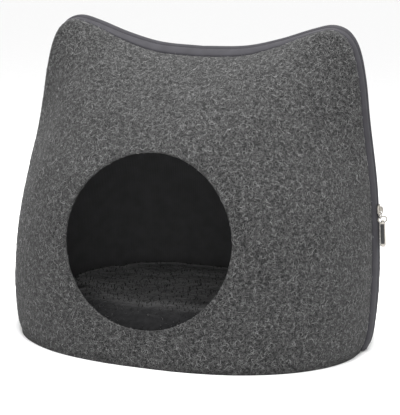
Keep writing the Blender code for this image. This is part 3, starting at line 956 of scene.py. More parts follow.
@dataclass
class FeltPanel:
    """A pressed felt half of the cave, with the dark backing on its inside."""

    name: str
    form: PressedForm
    felt: bpy.types.Material
    backing: bpy.types.Material
    entrance: tuple | None = None       # middle x and z, half width and half height
    thickness: float = 4.0 * MM
    zip_points: int = 263
    foot_points: int = 161
    rings: int = 74
    crowding: float = 1.9               # rings stand closer towards the edge
    rim_steps: int = 6
    rim_round: float = 0.4 * MM
    square_rings: int = 14              # rings over which the cut edge turns to lie along Y
    patch: tuple = (0.0, 0.150, 0.090, 0.075)   # middle patch of a closed panel
    waves: tuple = ((45 * MM, 0.5 * MM), (16 * MM, 0.16 * MM))   # unevenness: size, height
    wave_fade: float = 12.0 * MM        # the unevenness fades out towards the zip
    slope_step: float = 1.0 * MM        # the patch's slope is taken over this distance
    flat: tuple[float, float] = (0.53, 0.34)
    area: float = 0.15

    def inner_loop(self, count: int) -> np.ndarray:
        """Loop that the rays run to: the entrance, or the middle patch's edge.

        Args:
            count: number of rays.

        Returns:
            X and Z of the loop at each ray.
        """
        turn = (np.arange(count) - (self.zip_points - 1) / 2) / count + 0.25
        if self.entrance:
            x, z, wide, high = self.entrance
            angle = math.tau * turn
            return np.stack([x + wide * np.cos(angle), z + high * np.sin(angle)], axis=-1)
        x, z, wide, high = self.patch
        corners = np.array([(wide, -high), (wide, high), (-wide, high), (-wide, -high),
                            (wide, -high)]) + (x, z)
        quarter = (turn + 0.125) % 1.0 * 4
        return np.stack([np.interp(quarter, range(5), corners[:, k]) for k in (0, 1)], axis=-1)

    def uneven(self, points: np.ndarray) -> np.ndarray:
        """Height of the felt's unevenness.

        Args:
            points: points of its surface.

        Returns:
            The height at each point.
        """
        height = np.zeros(points.shape[:-1])
        for size, tall in self.waves:
            for place in np.ndindex(height.shape):
                height[place] += tall * noise.noise(Vector(points[place] / size))
        inside = self.form.edge_distance(points[..., 0], points[..., 2])
        return height * np.clip(inside / self.wave_fade, 0, 1)

    def sides(self) -> tuple[np.ndarray, np.ndarray]:
        """Ring grids of the outer and of the inner side's points.

        Returns:
            The outer grid and the inner one.
        """
        form = self.form
        outer_xz = form.boundary(self.zip_points, self.foot_points)
        inner_xz = self.inner_loop(len(outer_xz))
        share = (np.linspace(0, 1, self.rings) ** self.crowding)[:, None, None]
        xz = outer_xz * (1 - share) + inner_xz * share
        outer = form.surface(xz[..., 0], xz[..., 1])
        normal = grid_normals(outer) * form.facing.value
        outer = outer + normal * self.uneven(outer)[..., None]
        turned = np.zeros(self.rings)
        if self.entrance:
            turned[-self.square_rings:] = np.linspace(0, 1, self.square_rings)
        turned = eased(turned)[:, None, None]
        along_y = np.array((0.0, form.facing.value, 0.0))
        way = normal * (1 - turned) + along_y * turned
        inner = outer - way * (self.thickness / (way * normal).sum(axis=-1))[..., None]
        inner[..., 2] = np.maximum(inner[..., 2], 0.0)
        outer[..., 2] = np.maximum(outer[..., 2], 0.0)
        foot = np.isclose(outer_xz[:, 1], 0.0)
        inner[0, foot, 2] = 0.0
        outer[0, foot, 2] = 0.0
        return outer, inner

    def build(self) -> bpy.types.Object:
        """Make the panel's mesh, felt in its first material slot and backing in its second.

        Returns:
            The panel.
        """
        outer, inner = self.sides()
        bm = bmesh.new()
        fronts = [[bm.verts.new(p) for p in ring] for ring in outer]
        backs = [[bm.verts.new(p) for p in ring] for ring in inner]
        for slot, rings in ((0, fronts), (1, backs)):
            for ring, following in zip(rings, rings[1:]):
                ring_faces(bm, ring, following, slot)
            if not self.entrance:
                self.fill_patch(bm, rings[-1], slot)
        self.rim(bm, fronts[0], backs[0], outer[0] - outer[2])
        if self.entrance:
            self.rim(bm, fronts[-1], backs[-1], outer[-1] - outer[-2])
        bmesh.ops.recalc_face_normals(bm, faces=bm.faces)
        return object_from_bmesh(self.name, bm, [self.felt, self.backing])

    def rim(self, bm: bmesh.types.BMesh, front: list, back: list, away: np.ndarray) -> None:
        """The felt's cut edge between its two sides, slightly rounded.

        Args:
            bm: the panel's mesh.
            front: ring of vertices on the outer side.
            back: the same ring on the inner side.
            away: direction out of the felt's body at each vertex.
        """
        away = away / np.linalg.norm(away, axis=-1)[:, None]
        last = front
        for step in range(1, self.rim_steps):
            angle = math.pi * step / self.rim_steps
            share = (1 - math.cos(angle)) / 2
            swell = self.rim_round * math.sqrt(math.sin(angle))
            ring = []
            for a, b, out in zip(front, back, away):
                point = a.co.lerp(b.co, share) + Vector(out) * swell
                point.z = max(point.z, 0.0)
                ring.append(bm.verts.new(point))
            ring_faces(bm, last, ring)
            last = ring
        ring_faces(bm, last, back)

    def fill_patch(self, bm: bmesh.types.BMesh, loop: list, slot: int) -> None:
        """Fill the rectangular middle of a closed panel with a grid of faces.

        Args:
            bm: the panel's mesh.
            loop: the vertices round the middle.
            slot: the faces' material slot, 0 on the outer side and 1 on the inner side.
        """
        side = len(loop) // 4
        first = (side // 2 + (self.zip_points - 1) // 2 + side) % len(loop)

        def edge(start: int) -> list:
            """Vertices along one side of the rectangle, both corners with it."""
            return [loop[(first + start * side + i) % len(loop)] for i in range(side + 1)]

        bottom, right = edge(0), edge(1)
        top, left = edge(2)[::-1], edge(3)[::-1]
        x, z = np.meshgrid([v.co.x for v in bottom[1:-1]], [v.co.z for v in right[1:-1]])
        points = self.patch_points(x, z, slot)
        rows = [[a, *map(bm.verts.new, line), b]
                for a, line, b in zip(left[1:-1], points, right[1:-1])]
        rows = [bottom, *rows, top]
        for row, above in zip(rows, rows[1:]):
            for i in range(side):
                face = bm.faces.new((row[i], row[i + 1], above[i + 1], above[i]))
                face.material_index = slot

    def patch_points(self, x: np.ndarray, z: np.ndarray, slot: int) -> np.ndarray:
        """Points of a closed panel's middle patch.

        Args:
            x: places across the cave.
            z: heights.
            slot: 0 for the outer side and 1 for the inner side.

        Returns:
            The points.
        """
        step = self.slope_step
        here = self.form.surface(x, z)
        normal = np.cross(self.form.surface(x, z + step) - here,
                          self.form.surface(x + step, z) - here) * self.form.facing.value
        normal /= np.linalg.norm(normal, axis=-1)[..., None]
        height = self.uneven(here) - (self.thickness if slot else 0.0)
        return here + normal * height[..., None]


@dataclass
class CurledFibres:
    """Loose fibres or pile that stand on a piece, set and bent by Geometry Nodes."""

    name: str
    base: bpy.types.Object              # the piece that they stand on
    fibre: bpy.types.Material
    density: float                      # fibres for each square metre
    length: float = 4.2 * MM
    radius: float = 0.115 * MM           # real fibres are finer; drawn coarser, to show
    bends: tuple = (40, 90, 170)        # degrees that the three kinds of fibre curl through
    lean: float = 9.0                   # degrees that a fibre tilts out of the surface
    sizes: tuple[float, float] = (0.6, 1.35)    # smallest and largest, as a share
    upright: bool = False               # pile stands up, loose fibres lie down
    lift: float = 0.10 * MM
    foot: float = 6.0 * MM              # lowest place that gets fibres
    steps: int = 5
    seed: int = 4

    def shapes(self, tree: bpy.types.NodeTree, radius: bpy.types.NodeSocket,
               length: bpy.types.NodeSocket) -> list[bpy.types.Node]:
        """Instances of the kinds of fibre, each a thin bent rod.

        Args:
            tree: the Geometry Nodes tree.
            radius: the output that gives the rod's radius.
            length: the output that gives its length.

        Returns:
            A node for each kind.
        """
        add = partial(add_node, tree)
        wire = add("GeometryNodeCurvePrimitiveCircle", {"Resolution": 3, "Radius": radius},
                   mode="RADIUS")
        kinds = []
        for bend in self.bends:
            sweep = math.radians(bend)
            turn = add("ShaderNodeMath", {0: length, 1: sweep}, operation="DIVIDE")
            arc = add("GeometryNodeCurveArc",
                      {"Resolution": self.steps, "Radius": turn, "Sweep Angle": sweep,
                       "Start Angle": -sweep / 2}, mode="RADIUS")
            rod = add("GeometryNodeCurveToMesh",
                      {"Curve": arc, "Profile Curve": wire, "Fill Caps": True})
            back = add("ShaderNodeMath", {0: turn, 1: -1.0}, operation="MULTIPLY")
            shift = add("ShaderNodeCombineXYZ", {"X": back, "Z": self.lift})
            placed = add("GeometryNodeTransform", {"Geometry": rod, "Translation": shift})
            stood = add("GeometryNodeTransform",
                        {"Geometry": placed,
                         "Rotation": (math.pi / 2 if self.upright else 0.0, 0.0, 0.0)})
            kinds.append(add("GeometryNodeGeometryToInstance", {"Geometry": stood}))
        return kinds

    def tree(self) -> bpy.types.NodeTree:
        """Nodes that strew the fibres over the piece's first material, above its foot.

        Returns:
            The node tree.
        """
        tree, given = new_tree("curled_fibres", {
            "Density": "Float", "Radius": "Float", "Length": "Float", "Seed": "Int",
            "Foot": "Float", "Material": "Material"})
        add = partial(add_node, tree)
        face = add("FunctionNodeCompare", {2: add("GeometryNodeInputMaterialIndex"), 3: 0},
                   data_type="INT", operation="EQUAL")
        place = add("ShaderNodeSeparateXYZ", {"Vector": add("GeometryNodeInputPosition")})
        high = add("FunctionNodeCompare", {0: place.outputs["Z"], 1: given["Foot"]},
                   data_type="FLOAT", operation="GREATER_THAN")
        points = add("GeometryNodeDistributePointsOnFaces",
                     {"Mesh": given["Geometry"], "Density": given["Density"],
                      "Seed": given["Seed"],
                      "Selection": add("FunctionNodeBooleanMath", {0: face, 1: high})})
        lean = math.radians(self.lean)
        tilt = add("FunctionNodeRandomValue",
                   {0: (-lean, -lean, 0.0), 1: (lean, lean, math.tau), "Seed": self.seed + 1},
                   data_type="FLOAT_VECTOR")
        turned = add("FunctionNodeRotateRotation",
                     {"Rotation": points.outputs["Rotation"],
                      "Rotate By": add("FunctionNodeEulerToRotation", {"Euler": tilt})},
                     rotation_space="LOCAL")
        size = add("FunctionNodeRandomValue",
                   {2: self.sizes[0], 3: self.sizes[1], "Seed": self.seed + 2},
                   data_type="FLOAT")
        kind = add("FunctionNodeRandomValue",
                   {4: 0, 5: len(self.bends) - 1, "Seed": self.seed + 3}, data_type="INT")
        kinds = add("GeometryNodeJoinGeometry",
                    {"Geometry": self.shapes(tree, given["Radius"], given["Length"])})
        fibres = add("GeometryNodeInstanceOnPoints",
                     {"Points": points, "Instance": kinds, "Pick Instance": True,
                      "Instance Index": kind, "Rotation": turned, "Scale": size})
        end_tree(tree, fibres, given["Material"])
        return tree

    def build(self) -> bpy.types.Object:
        """Make the fibres' mesh.

        Returns:
            The fibres.
        """
        obj = linked(self.name, self.base.data.copy())
        run_nodes(obj, self.tree(), {"Density": self.density, "Radius": self.radius,
                                     "Length": self.length, "Seed": self.seed,
                                     "Foot": self.foot, "Material": self.fibre})
        return obj


@dataclass
class FeltFloor:
    """The felt floor, cut to the foot of both panels."""

    front: PressedForm
    back: PressedForm
    felt: bpy.types.Material
    thickness: float = 4.0 * MM
    clearance: float = 0.5 * MM
    end: float = 9.5 * MM               # the ends stop this far inside the zip's foot
    notch: float = 13.0 * MM            # half width of the notch for the zip's foot
    edge_round: float = 0.5 * MM
    points: int = 120
    flat: tuple[float, float] = (0.342, 0.292)
    area: float = 0.0835

    def side(self, form: PressedForm) -> list[tuple[float, float]]:
        """The floor's edge along one panel, with the notch for the zip's foot.

        Args:
            form: the panel's form.

        Returns:
            Its (x, y) points, from left to right.
        """
        share = np.linspace(-1, 1, self.points + 2)
        x = np.sign(share) * (1 - (1 - np.abs(share)) ** 1.5) * form.edge[0, 0]
        wall = form.surface(x, np.zeros_like(x))[:, :2]
        along = wall[2:] - wall[:-2]
        along /= np.linalg.norm(along, axis=1)[:, None]
        way = form.facing.value
        inset = np.stack([along[:, 1], -along[:, 0]], axis=1) * way
        places = wall[1:-1] + inset * (self.thickness + self.clearance)
        places = [tuple(p) for p in places if abs(p[1]) > self.notch]
        end = form.edge[0, 0] - self.end
        return [(-end, way * self.notch), *places, (end, way * self.notch)]

    def build(self) -> bpy.types.Object:
        """Make the floor's mesh.

        Returns:
            The floor.
        """
        outline = self.side(self.back) + self.side(self.front)[::-1]
        bm = bmesh.new()
        under = bm.faces.new([bm.verts.new((x, y, 0.0)) for x, y in outline])
        upper = bmesh.ops.extrude_face_region(bm, geom=[under])
        lifted = [v for v in upper["geom"] if isinstance(v, bmesh.types.BMVert)]
        bmesh.ops.translate(bm, vec=(0, 0, self.thickness), verts=lifted)
        bmesh.ops.recalc_face_normals(bm, faces=bm.faces)
        rims = [e for e in bm.edges if abs(e.verts[0].co.z - e.verts[1].co.z) < self.clearance]
        bmesh.ops.bevel(bm, geom=rims, offset=self.edge_round, segments=2, affect="EDGES",
                        profile=0.5)
        return object_from_bmesh("felt_floor", bm, [self.felt])


# ---------------------------------------------------------------- the zip
@dataclass
class ZipTape:
    """One tape of the zip: its face from the slit to the felt, and its seam allowance."""

    name: str
    form: PressedForm
    tape: bpy.types.Material
    crown: tuple[float, float]          # rise at the sides, at the top
    thickness: float = 1.2 * MM
    slit: float = 0.6 * MM              # half width of the slit
    clearance: float = 1.8 * MM         # from the tape's fold to the felt's cut edge
    seam: float = 0.4 * MM              # the same at the bottom of the seam
    recess: float = 1.3 * MM            # below the felt's face
    recess_power: float = 6.0           # how late the face dips to that
    lip: tuple[float, float] = (1.3 * MM, 0.22)         # roll into the slit: depth, share
    hem: tuple[float, float] = (1.3 * MM, 3.05 * MM)    # fold on the coil: width, depth
    flange: float = 4.5 * MM            # seam allowance turned in along the cut edge
    slant: float = 0.2                  # its bottom rises by this share of the drop
    drop_power: float = 1.6             # how late the face falls to the felt's edge
    round: float = 0.3 * MM
    foot: float = 0.6 * MM              # the zip stops just above the ground
    stations: int = 460
    face_points: int = 14
    crowding: float = 1.4               # they stand closer towards the slit
    flat: tuple[float, float] = (0.019, 0.94)

    def section(self, origin: np.ndarray, outward: np.ndarray, drop: float) -> list[np.ndarray]:
        """Ring of points round the tape at one station of the zip.

        Args:
            origin: the point of the zip's line.
            outward: the direction out of the cave there.
            drop: how far the felt's edge lies below the line.

        Returns:
            The ring, from the slit over the face, down the flange and back beneath.
        """
        half = self.form.zip_half_width
        crown = self.crown[0] + (self.crown[1] - self.crown[0]) * max(outward[2], 0.0)
        across = np.array((0.0, self.form.facing.value, 0.0))
        deep, wide = self.lip

        def point(share: float, sunk: float) -> np.ndarray:
            """A point at a share of the way to the felt, sunk below the face."""
            rise = (crown * 4 * share * (1 - share) - drop * share**self.drop_power
                    - self.recess * share**self.recess_power
                    - deep * max(1 - share / wide, 0.0) ** 2)
            return origin + outward * (rise - sunk) + across * half * share

        first = self.slit / half
        last = 1.0 - self.clearance / half
        soft = self.round / half
        spread = np.linspace(0, 1, self.face_points) ** self.crowding
        face = list(first + soft + (last - first - 2 * soft) * spread)
        ring = [point(share, 0.0) for share in face]
        ring += [point(last, self.round), point(1.0 - self.seam / half, self.flange)]
        inner = last - self.thickness / half
        ring += [point(inner, self.flange - drop * self.slant), point(inner, self.thickness)]
        hem = first + self.hem[0] / half
        ring += [point(share, self.thickness) for share in face[-4::-1] if share > hem]
        ring += [origin - outward * self.hem[1] + across * half * share for share in (hem, first)]
        ring.append(point(first, self.round))
        return ring

    def build(self) -> bpy.types.Object:
        """Make the tape's mesh, with its own UV map in metres along and across.

        Returns:
            The tape.
        """
        form = self.form
        index, side = form.zip_stations(self.stations)
        line, outward = form.at(form.line, index), form.at(form.outward, index)
        drop = form.at(form.drop, index)
        zero = np.zeros_like(side)
        line = np.stack([side * line[:, 0], zero, np.maximum(line[:, 1], self.foot)], axis=-1)
        outward = np.stack([side * outward[:, 0], zero, outward[:, 1]], axis=-1)
        rings = np.array([self.section(*station) for station in zip(line, outward, drop)])
        rings[..., 2] = np.maximum(rings[..., 2], self.foot)
        along = along_length(line)
        across = along_length(rings[len(rings) // 2])
        bm = bmesh.new()
        uv = bm.loops.layers.uv.new("along")
        verts = [[bm.verts.new(p) for p in ring] for ring in rings]
        for row, (ring, following) in enumerate(zip(verts, verts[1:])):
            for i, face in enumerate(ring_faces(bm, ring, following)):
                places = ((row, i), (row, i + 1), (row + 1, i + 1), (row + 1, i))
                for loop, (r, c) in zip(face.loops, places):
                    loop[uv].uv = (along[r], across[min(c, len(ring) - 1)])
        bm.faces.new(verts[0][::-1])
        bm.faces.new(verts[-1])
        bmesh.ops.recalc_face_normals(bm, faces=bm.faces)
        return object_from_bmesh(self.name, bm, [self.tape])


@dataclass
class ZipChain:
    """The closed coil under the slit: two rows of hairpin teeth round a filler cord."""

    form: PressedForm
    nylon: bpy.types.Material
    pitch: float = 1.8 * MM
    wire: float = 0.32 * MM             # radius of the filament
    reach: float = 2.0 * MM             # how far a tooth reaches back from the middle
    sunk: float = 3.4 * MM              # the coil's middle below the zip's line
    foot: float = 1.5 * MM
    cord: float = 0.8 * MM              # radius of the cord that the teeth are wound on
    hook: tuple[float, float] = (55.0, 250.0)   # a hairpin's start and sweep, in degrees
    squash: tuple = (0.9, 0.30, 0.8)    # it is pressed flat across, along and upwards
    first: float = 0.1                  # the first tooth stands this share of a pitch in
    past_end: float = 10.0              # a length beyond the guide's end: nothing is cut there
    guide_points: int = 700

    def guide(self) -> bpy.types.Object:
        """Line of edges along the coil's middle, with the outward direction stored on it.

        Returns:
            The line.
        """
        index, side = self.form.zip_stations(self.guide_points)
        line = self.form.at(self.form.line, index)
        outward = self.form.at(self.form.outward, index)
        sunk = line - outward * self.sunk
        mesh = bpy.data.meshes.new("zip_chain_fine")
        points = [(s * x, 0.0, max(z, self.foot)) for s, (x, z) in zip(side, sunk)]
        mesh.from_pydata(points, [(i, i + 1) for i in range(len(points) - 1)], [])
        stored = mesh.attributes.new("outward", "FLOAT_VECTOR", "POINT")
        stored.data.foreach_set("vector", [v for s, (x, z) in zip(side, outward)
                                           for v in (s * x, 0.0, z)])
        return linked("zip_chain_fine", mesh)

    def tree(self) -> bpy.types.NodeTree:
        """Nodes that set hairpin teeth along the guide, one row from each side.

        Returns:
            The node tree.
        """
        tree, given = new_tree("coil_teeth", {
            "Pitch": "Float", "Wire": "Float", "Reach": "Float", "Cord": "Float",
            "Material": "Material"})
        add = partial(add_node, tree)
        curve = add("GeometryNodeMeshToCurve", {"Mesh": given["Geometry"]})
        start, sweep = (math.radians(angle) for angle in self.hook)
        tooth = add("GeometryNodeCurveArc",
                    {"Resolution": 7, "Radius": given["Reach"], "Start Angle": start,
                     "Sweep Angle": sweep}, mode="RADIUS")
        tubes = []
        for path, sides, radius in ((tooth, 5, "Wire"), (curve, 7, "Cord")):
            ring = add("GeometryNodeCurvePrimitiveCircle",
                       {"Resolution": sides, "Radius": given[radius]}, mode="RADIUS")
            tubes.append(add("GeometryNodeCurveToMesh",
                             {"Curve": path, "Profile Curve": ring, "Fill Caps": True}))
        hairpin, filler = tubes
        narrow = add("GeometryNodeTransform", {"Geometry": hairpin, "Scale": self.squash})
        outward = add("GeometryNodeInputNamedAttribute", {"Name": "outward"},
                      data_type="FLOAT_VECTOR")
        upright = add("FunctionNodeAlignRotationToVector", {"Vector": outward}, axis="Z")
        facing = add("FunctionNodeAlignRotationToVector",
                     {"Rotation": upright, "Vector": add("GeometryNodeInputTangent")},
                     axis="Y", pivot_axis="Z")
        rows = []
        for turn, shift in ((0.0, 0.0), (math.pi, 0.5)):
            begin = add("ShaderNodeMath", {0: given["Pitch"], 1: shift + self.first},
                        operation="MULTIPLY")
            trimmed = add("GeometryNodeTrimCurve", {"Curve": curve, 4: begin, 5: self.past_end},
                          mode="LENGTH")
            spaced = add("GeometryNodeResampleCurve",
                         {"Curve": trimmed, "Length": given["Pitch"]}, mode="LENGTH")
            spin = add("FunctionNodeRotateRotation",
                       {"Rotation": facing, "Rotate By": (0.0, 0.0, turn)},
                       rotation_space="LOCAL")
            rows.append(add("GeometryNodeInstanceOnPoints",
                            {"Points": spaced, "Instance": narrow, "Rotation": spin}))
        joined = add("GeometryNodeJoinGeometry", {"Geometry": [filler, *rows]})
        end_tree(tree, joined, given["Material"])
        return tree

    def build(self) -> bpy.types.Object:
        """Make the coil's mesh.

        Returns:
            The coil with its cord.
        """
        obj = self.guide()
        run_nodes(obj, self.tree(), {"Pitch": self.pitch, "Wire": self.wire,
                                     "Reach": self.reach, "Cord": self.cord,
                                     "Material": self.nylon})
        return obj


@dataclass
class ZipSlider:
    """The slider with its link and its pull, hanging at the zip's right-hand side."""

    form: PressedForm
    nickel: bpy.types.Material
    moulded: bpy.types.Material
    height: float = 143.0 * MM          # of the slider's middle
    plate: tuple = (8.0 * MM, 11.5 * MM, 1.6 * MM)      # width, length, thickness
    plate_edge: float = 0.45 * MM
    # Right half of the plate's outline, as shares of half its width and of its length.
    plate_outline: tuple = ((0.0, -0.5), (0.45, -0.49), (0.66, -0.42), (0.72, -0.20),
                            (1.0, 0.28), (0.93, 0.46), (0.62, 0.5), (0.30, 0.44), (0.0, 0.42))
    seat: float = 0.5 * MM              # from the zip's line out to the plate
    flange: tuple = (1.0 * MM, 7.0 * MM, 1.5 * MM)      # thickness, length, depth
    flange_place: tuple = (0.1 * MM, 0.8 * MM)          # out of the line, up from the middle
    flange_round: tuple = (0.4 * MM, 0.3 * MM)          # corners, edges
    bridge: tuple = (3.8 * MM, 5.0 * MM)                # half length, height out of the line
    strap: tuple = (0.55 * MM, 1.15 * MM)               # half thickness, half width
    strap_corner: float = 0.6           # 1 is an oval section, less has squarer corners
    web: float = 1.9                    # how far round the bridge its filled part goes
    web_width: float = 1.6 * MM
    edge: float = 0.2 * MM              # rounding of the filled part's and the frame's edges
    link_out: float = 2.9 * MM
    link: tuple = (3.2 * MM, 3.2 * MM, 0.5 * MM)        # half width, half height, wire
    link_lean: float = math.radians(22)
    hang: float = math.radians(116)     # where on its round the eye hangs in the link
    play: float = 0.6 * MM
    eye: tuple = (4.8 * MM, 3.0 * MM, 0.7 * MM)         # half width, half height, wire
    turn: float = math.radians(40)      # the eye hangs turned towards the back
    blade: tuple = (5.6 * MM, 25.0 * MM, 2.4 * MM)      # width, length, thickness
    blade_turn: float = math.radians(6)
    blade_corners: tuple = (1.5 * MM, 1.3 * MM, 1.8 * MM)   # cut: upper, lower across, lower up
    inset: float = 0.4 * MM             # from the eye's middle in to the blade's
    knuckle: tuple = (1.7 * MM, 1.9 * MM, 1.3 * MM)     # half axes of the boss at the eye
    knuckle_rise: float = 0.1 * MM      # its middle above the frame's top
    bars: tuple = (0.6 * MM, 1.2 * MM)  # width of the frame's inner and outer bar
    head: float = 2.2 * MM              # height of the frame above its window
    tail: float = 3.0 * MM              # and below it
    window_corner: float = 0.5 * MM
    insert: tuple = (0.5 * MM, 0.1 * MM)                # its core and ridge are this much thinner
    insert_corners: tuple = (0.4 * MM, 0.7 * MM)        # the same two
    insert_edge: float = 0.3 * MM
    ridge: tuple = (1.5 * MM, 2.0 * MM)                 # width, and how far it ends short
    gap: float = 0.3 * MM

    def place(self) -> Matrix:
        """The slider's axes: X out of the zip's line, Y across it and Z up along it.

        Returns:
            The matrix from these axes to the cave's.
        """
        side = self.form.line[:self.form.corner + 1]
        index = np.array([np.interp(self.height, side[:, 1], np.arange(len(side)))])
        (x, z), (out_x, out_z) = (self.form.at(v, index)[0]
                                  for v in (self.form.line, self.form.outward))
        outward, across = Vector((out_x, 0, out_z)), Vector((0, 1, 0))
        return axes(outward, across, outward.cross(across), (x, 0, z))

    def body(self) -> list:
        """The body's plate, its two flanges and the bridge over it with its filled part.

        Returns:
            The meshes, in the slider's axes.
        """
        width, length, thick = self.plate
        right = [(w * width / 2, h * length) for w, h in self.plate_outline]
        outline = right + [(-x, y) for x, y in right[-2:0:-1]]
        root = self.seat + thick / 2
        shapes = [moved(flat_plate([outline], thick, self.plate_edge),
                        axes((0, 1, 0), (0, 0, 1), (1, 0, 0), (root, 0, 0)))]
        deep, long, low = self.flange
        out, up = self.flange_place
        corner, edge = self.flange_round
        for side in (-1, 1):
            wing = flat_plate([rounded_outline(low, long, corner)], deep, edge)
            shapes.append(moved(wing, axes((1, 0, 0), (0, 0, 1), (0, 1, 0),
                                           (low / 2 + out, side * (width - deep) / 2, up))))
        half_length, peak = self.bridge
        arch = [(half_length * math.cos(t), root + (peak - root) * math.sqrt(math.sin(t)))
                for t in np.linspace(0, self.web, 18)]
        web = flat_plate([[*arch, (arch[-1][0], root)]], self.web_width, self.edge)
        return [*shapes, moved(web, axes((0, 0, 1), (1, 0, 0), (0, 1, 0))), self.crown(root)]

    def crown(self, root: float) -> bmesh.types.BMesh:
        """The flat strap that bridges the body.

        Args:
            root: distance from the zip's line out to its ends in the plate.

        Returns:
            The mesh.
        """
        half_length, peak = self.bridge
        thick, wide = self.strap
        path = [Vector((root + (peak - root) * math.sqrt(math.sin(t)), 0,
                        half_length * math.cos(t))) for t in np.linspace(0, math.pi, 33)[:-1]]
        path.append(Vector((root, 0, -half_length)))
        rings = []
        for i, point in enumerate(path):
            along = path[min(i + 1, len(path) - 1)] - path[max(i - 1, 0)]
            out = along.cross(Vector((0, 1, 0))).normalized()
            ring = []
            for a in np.linspace(0, math.tau, 16, endpoint=False):
                c, q = (math.copysign(abs(v)**self.strap_corner, v)
                        for v in (math.cos(a), math.sin(a)))
                ring.append(point + out * c * thick + Vector((0, q * wide, 0)))
            rings.append(ring)
        return lofted(rings, closed=False)

    def pull(self, held: Vector) -> tuple[list, list]:
        """The eye with its boss and the frame, and the insert.

        Args:
            held: where the eye hangs in the link.

        Returns:
            The shapes of the metal, and those of the insert.
        """
        eye_wide, eye_high, eye_wire = self.eye
        way = Vector((math.cos(self.turn), math.sin(self.turn), 0)) * eye_wide
        rise = Vector((0, 0, eye_high))
        middle = held - way * math.cos(self.hang) - rise * math.sin(self.hang)
        width, length, thick = self.blade
        side, top = width / 2, length / 2
        inner, outer = self.bars
        window = (width - inner - outer, length - self.head - self.tail)
        shift = Vector(((inner - outer) / 2, (self.tail - self.head) / 2, 0))
        hung = (Matrix.Translation((middle.x - self.inset, middle.y,
                                    middle.z - eye_high + eye_wire - top))
                @ Matrix.Rotation(self.blade_turn, 4, "Z") @ Matrix.Rotation(math.pi / 2, 4, "X"))
        upper, across, low = self.blade_corners
        rim = [(side, low - top), (side, top - upper), (side - upper, top), (upper - side, top),
               (-side, top - upper), (-side, low - top), (across - side, -top),
               (side - across, -top)]
        hole = [(x + shift.x, y + shift.y)
                for x, y in rounded_outline(*window, self.window_corner)]
        boss = bmesh.new()
        bmesh.ops.create_uvsphere(boss, u_segments=24, v_segments=14, radius=1.0)
        metal = [moved(flat_plate([rim, hole], thick, self.edge), hung),
                 oval_ring(middle, way, rise, eye_wire),
                 moved(boss, hung @ Matrix.Translation((self.inset, top + self.knuckle_rise, 0))
                       @ Matrix.Diagonal((*self.knuckle, 1.0)))]
        sizes = ((window[0] - self.gap, window[1] - self.gap),
                 (self.ridge[0], window[1] - self.ridge[1]))
        insert = [moved(flat_plate([rounded_outline(*size, corner)], thick - thinner,
                                   self.insert_edge), hung @ Matrix.Translation(shift))
                  for size, corner, thinner in zip(sizes, self.insert_corners, self.insert)]
        return metal, insert

    def pieces(self) -> list[tuple[bpy.types.Object, Slot, str]]:
        """Build the slider's body, its link, and the pull's frame and insert.

        Returns:
            Each piece with its slot and the node that it stands for.
        """
        half_wide, half_high, wire = self.link
        lean_up, lean_out = math.cos(self.link_lean), math.sin(self.link_lean)
        up, across = Vector((0, lean_out, lean_up)), Vector((0, lean_up, -lean_out))
        top = Vector((self.link_out, 0, -self.bridge[0] + self.strap[0] + wire + 2 * self.gap))
        centre = top - up * half_high
        link = oval_ring(centre, across * half_wide, up * half_high, wire)
        metal, insert = self.pull(centre - up * (half_high - wire - self.eye[2] - self.play))
        place = self.place()
        return [
            (united(name, [moved(bm, place) for bm in shapes], material), slot, node)
            for name, shapes, material, slot, node in (
                ("slider_body", self.body(), self.nickel, Slot.NICKEL, "zip_slider"),
                ("pull_link", [link], self.nickel, Slot.NICKEL, "zip_pull_link"),
                ("pull_frame", metal, self.nickel, Slot.NICKEL, "zip_pull_frame"),
                ("pull_insert", insert, self.moulded, Slot.MOULDED, "zip_pull_insert"))]


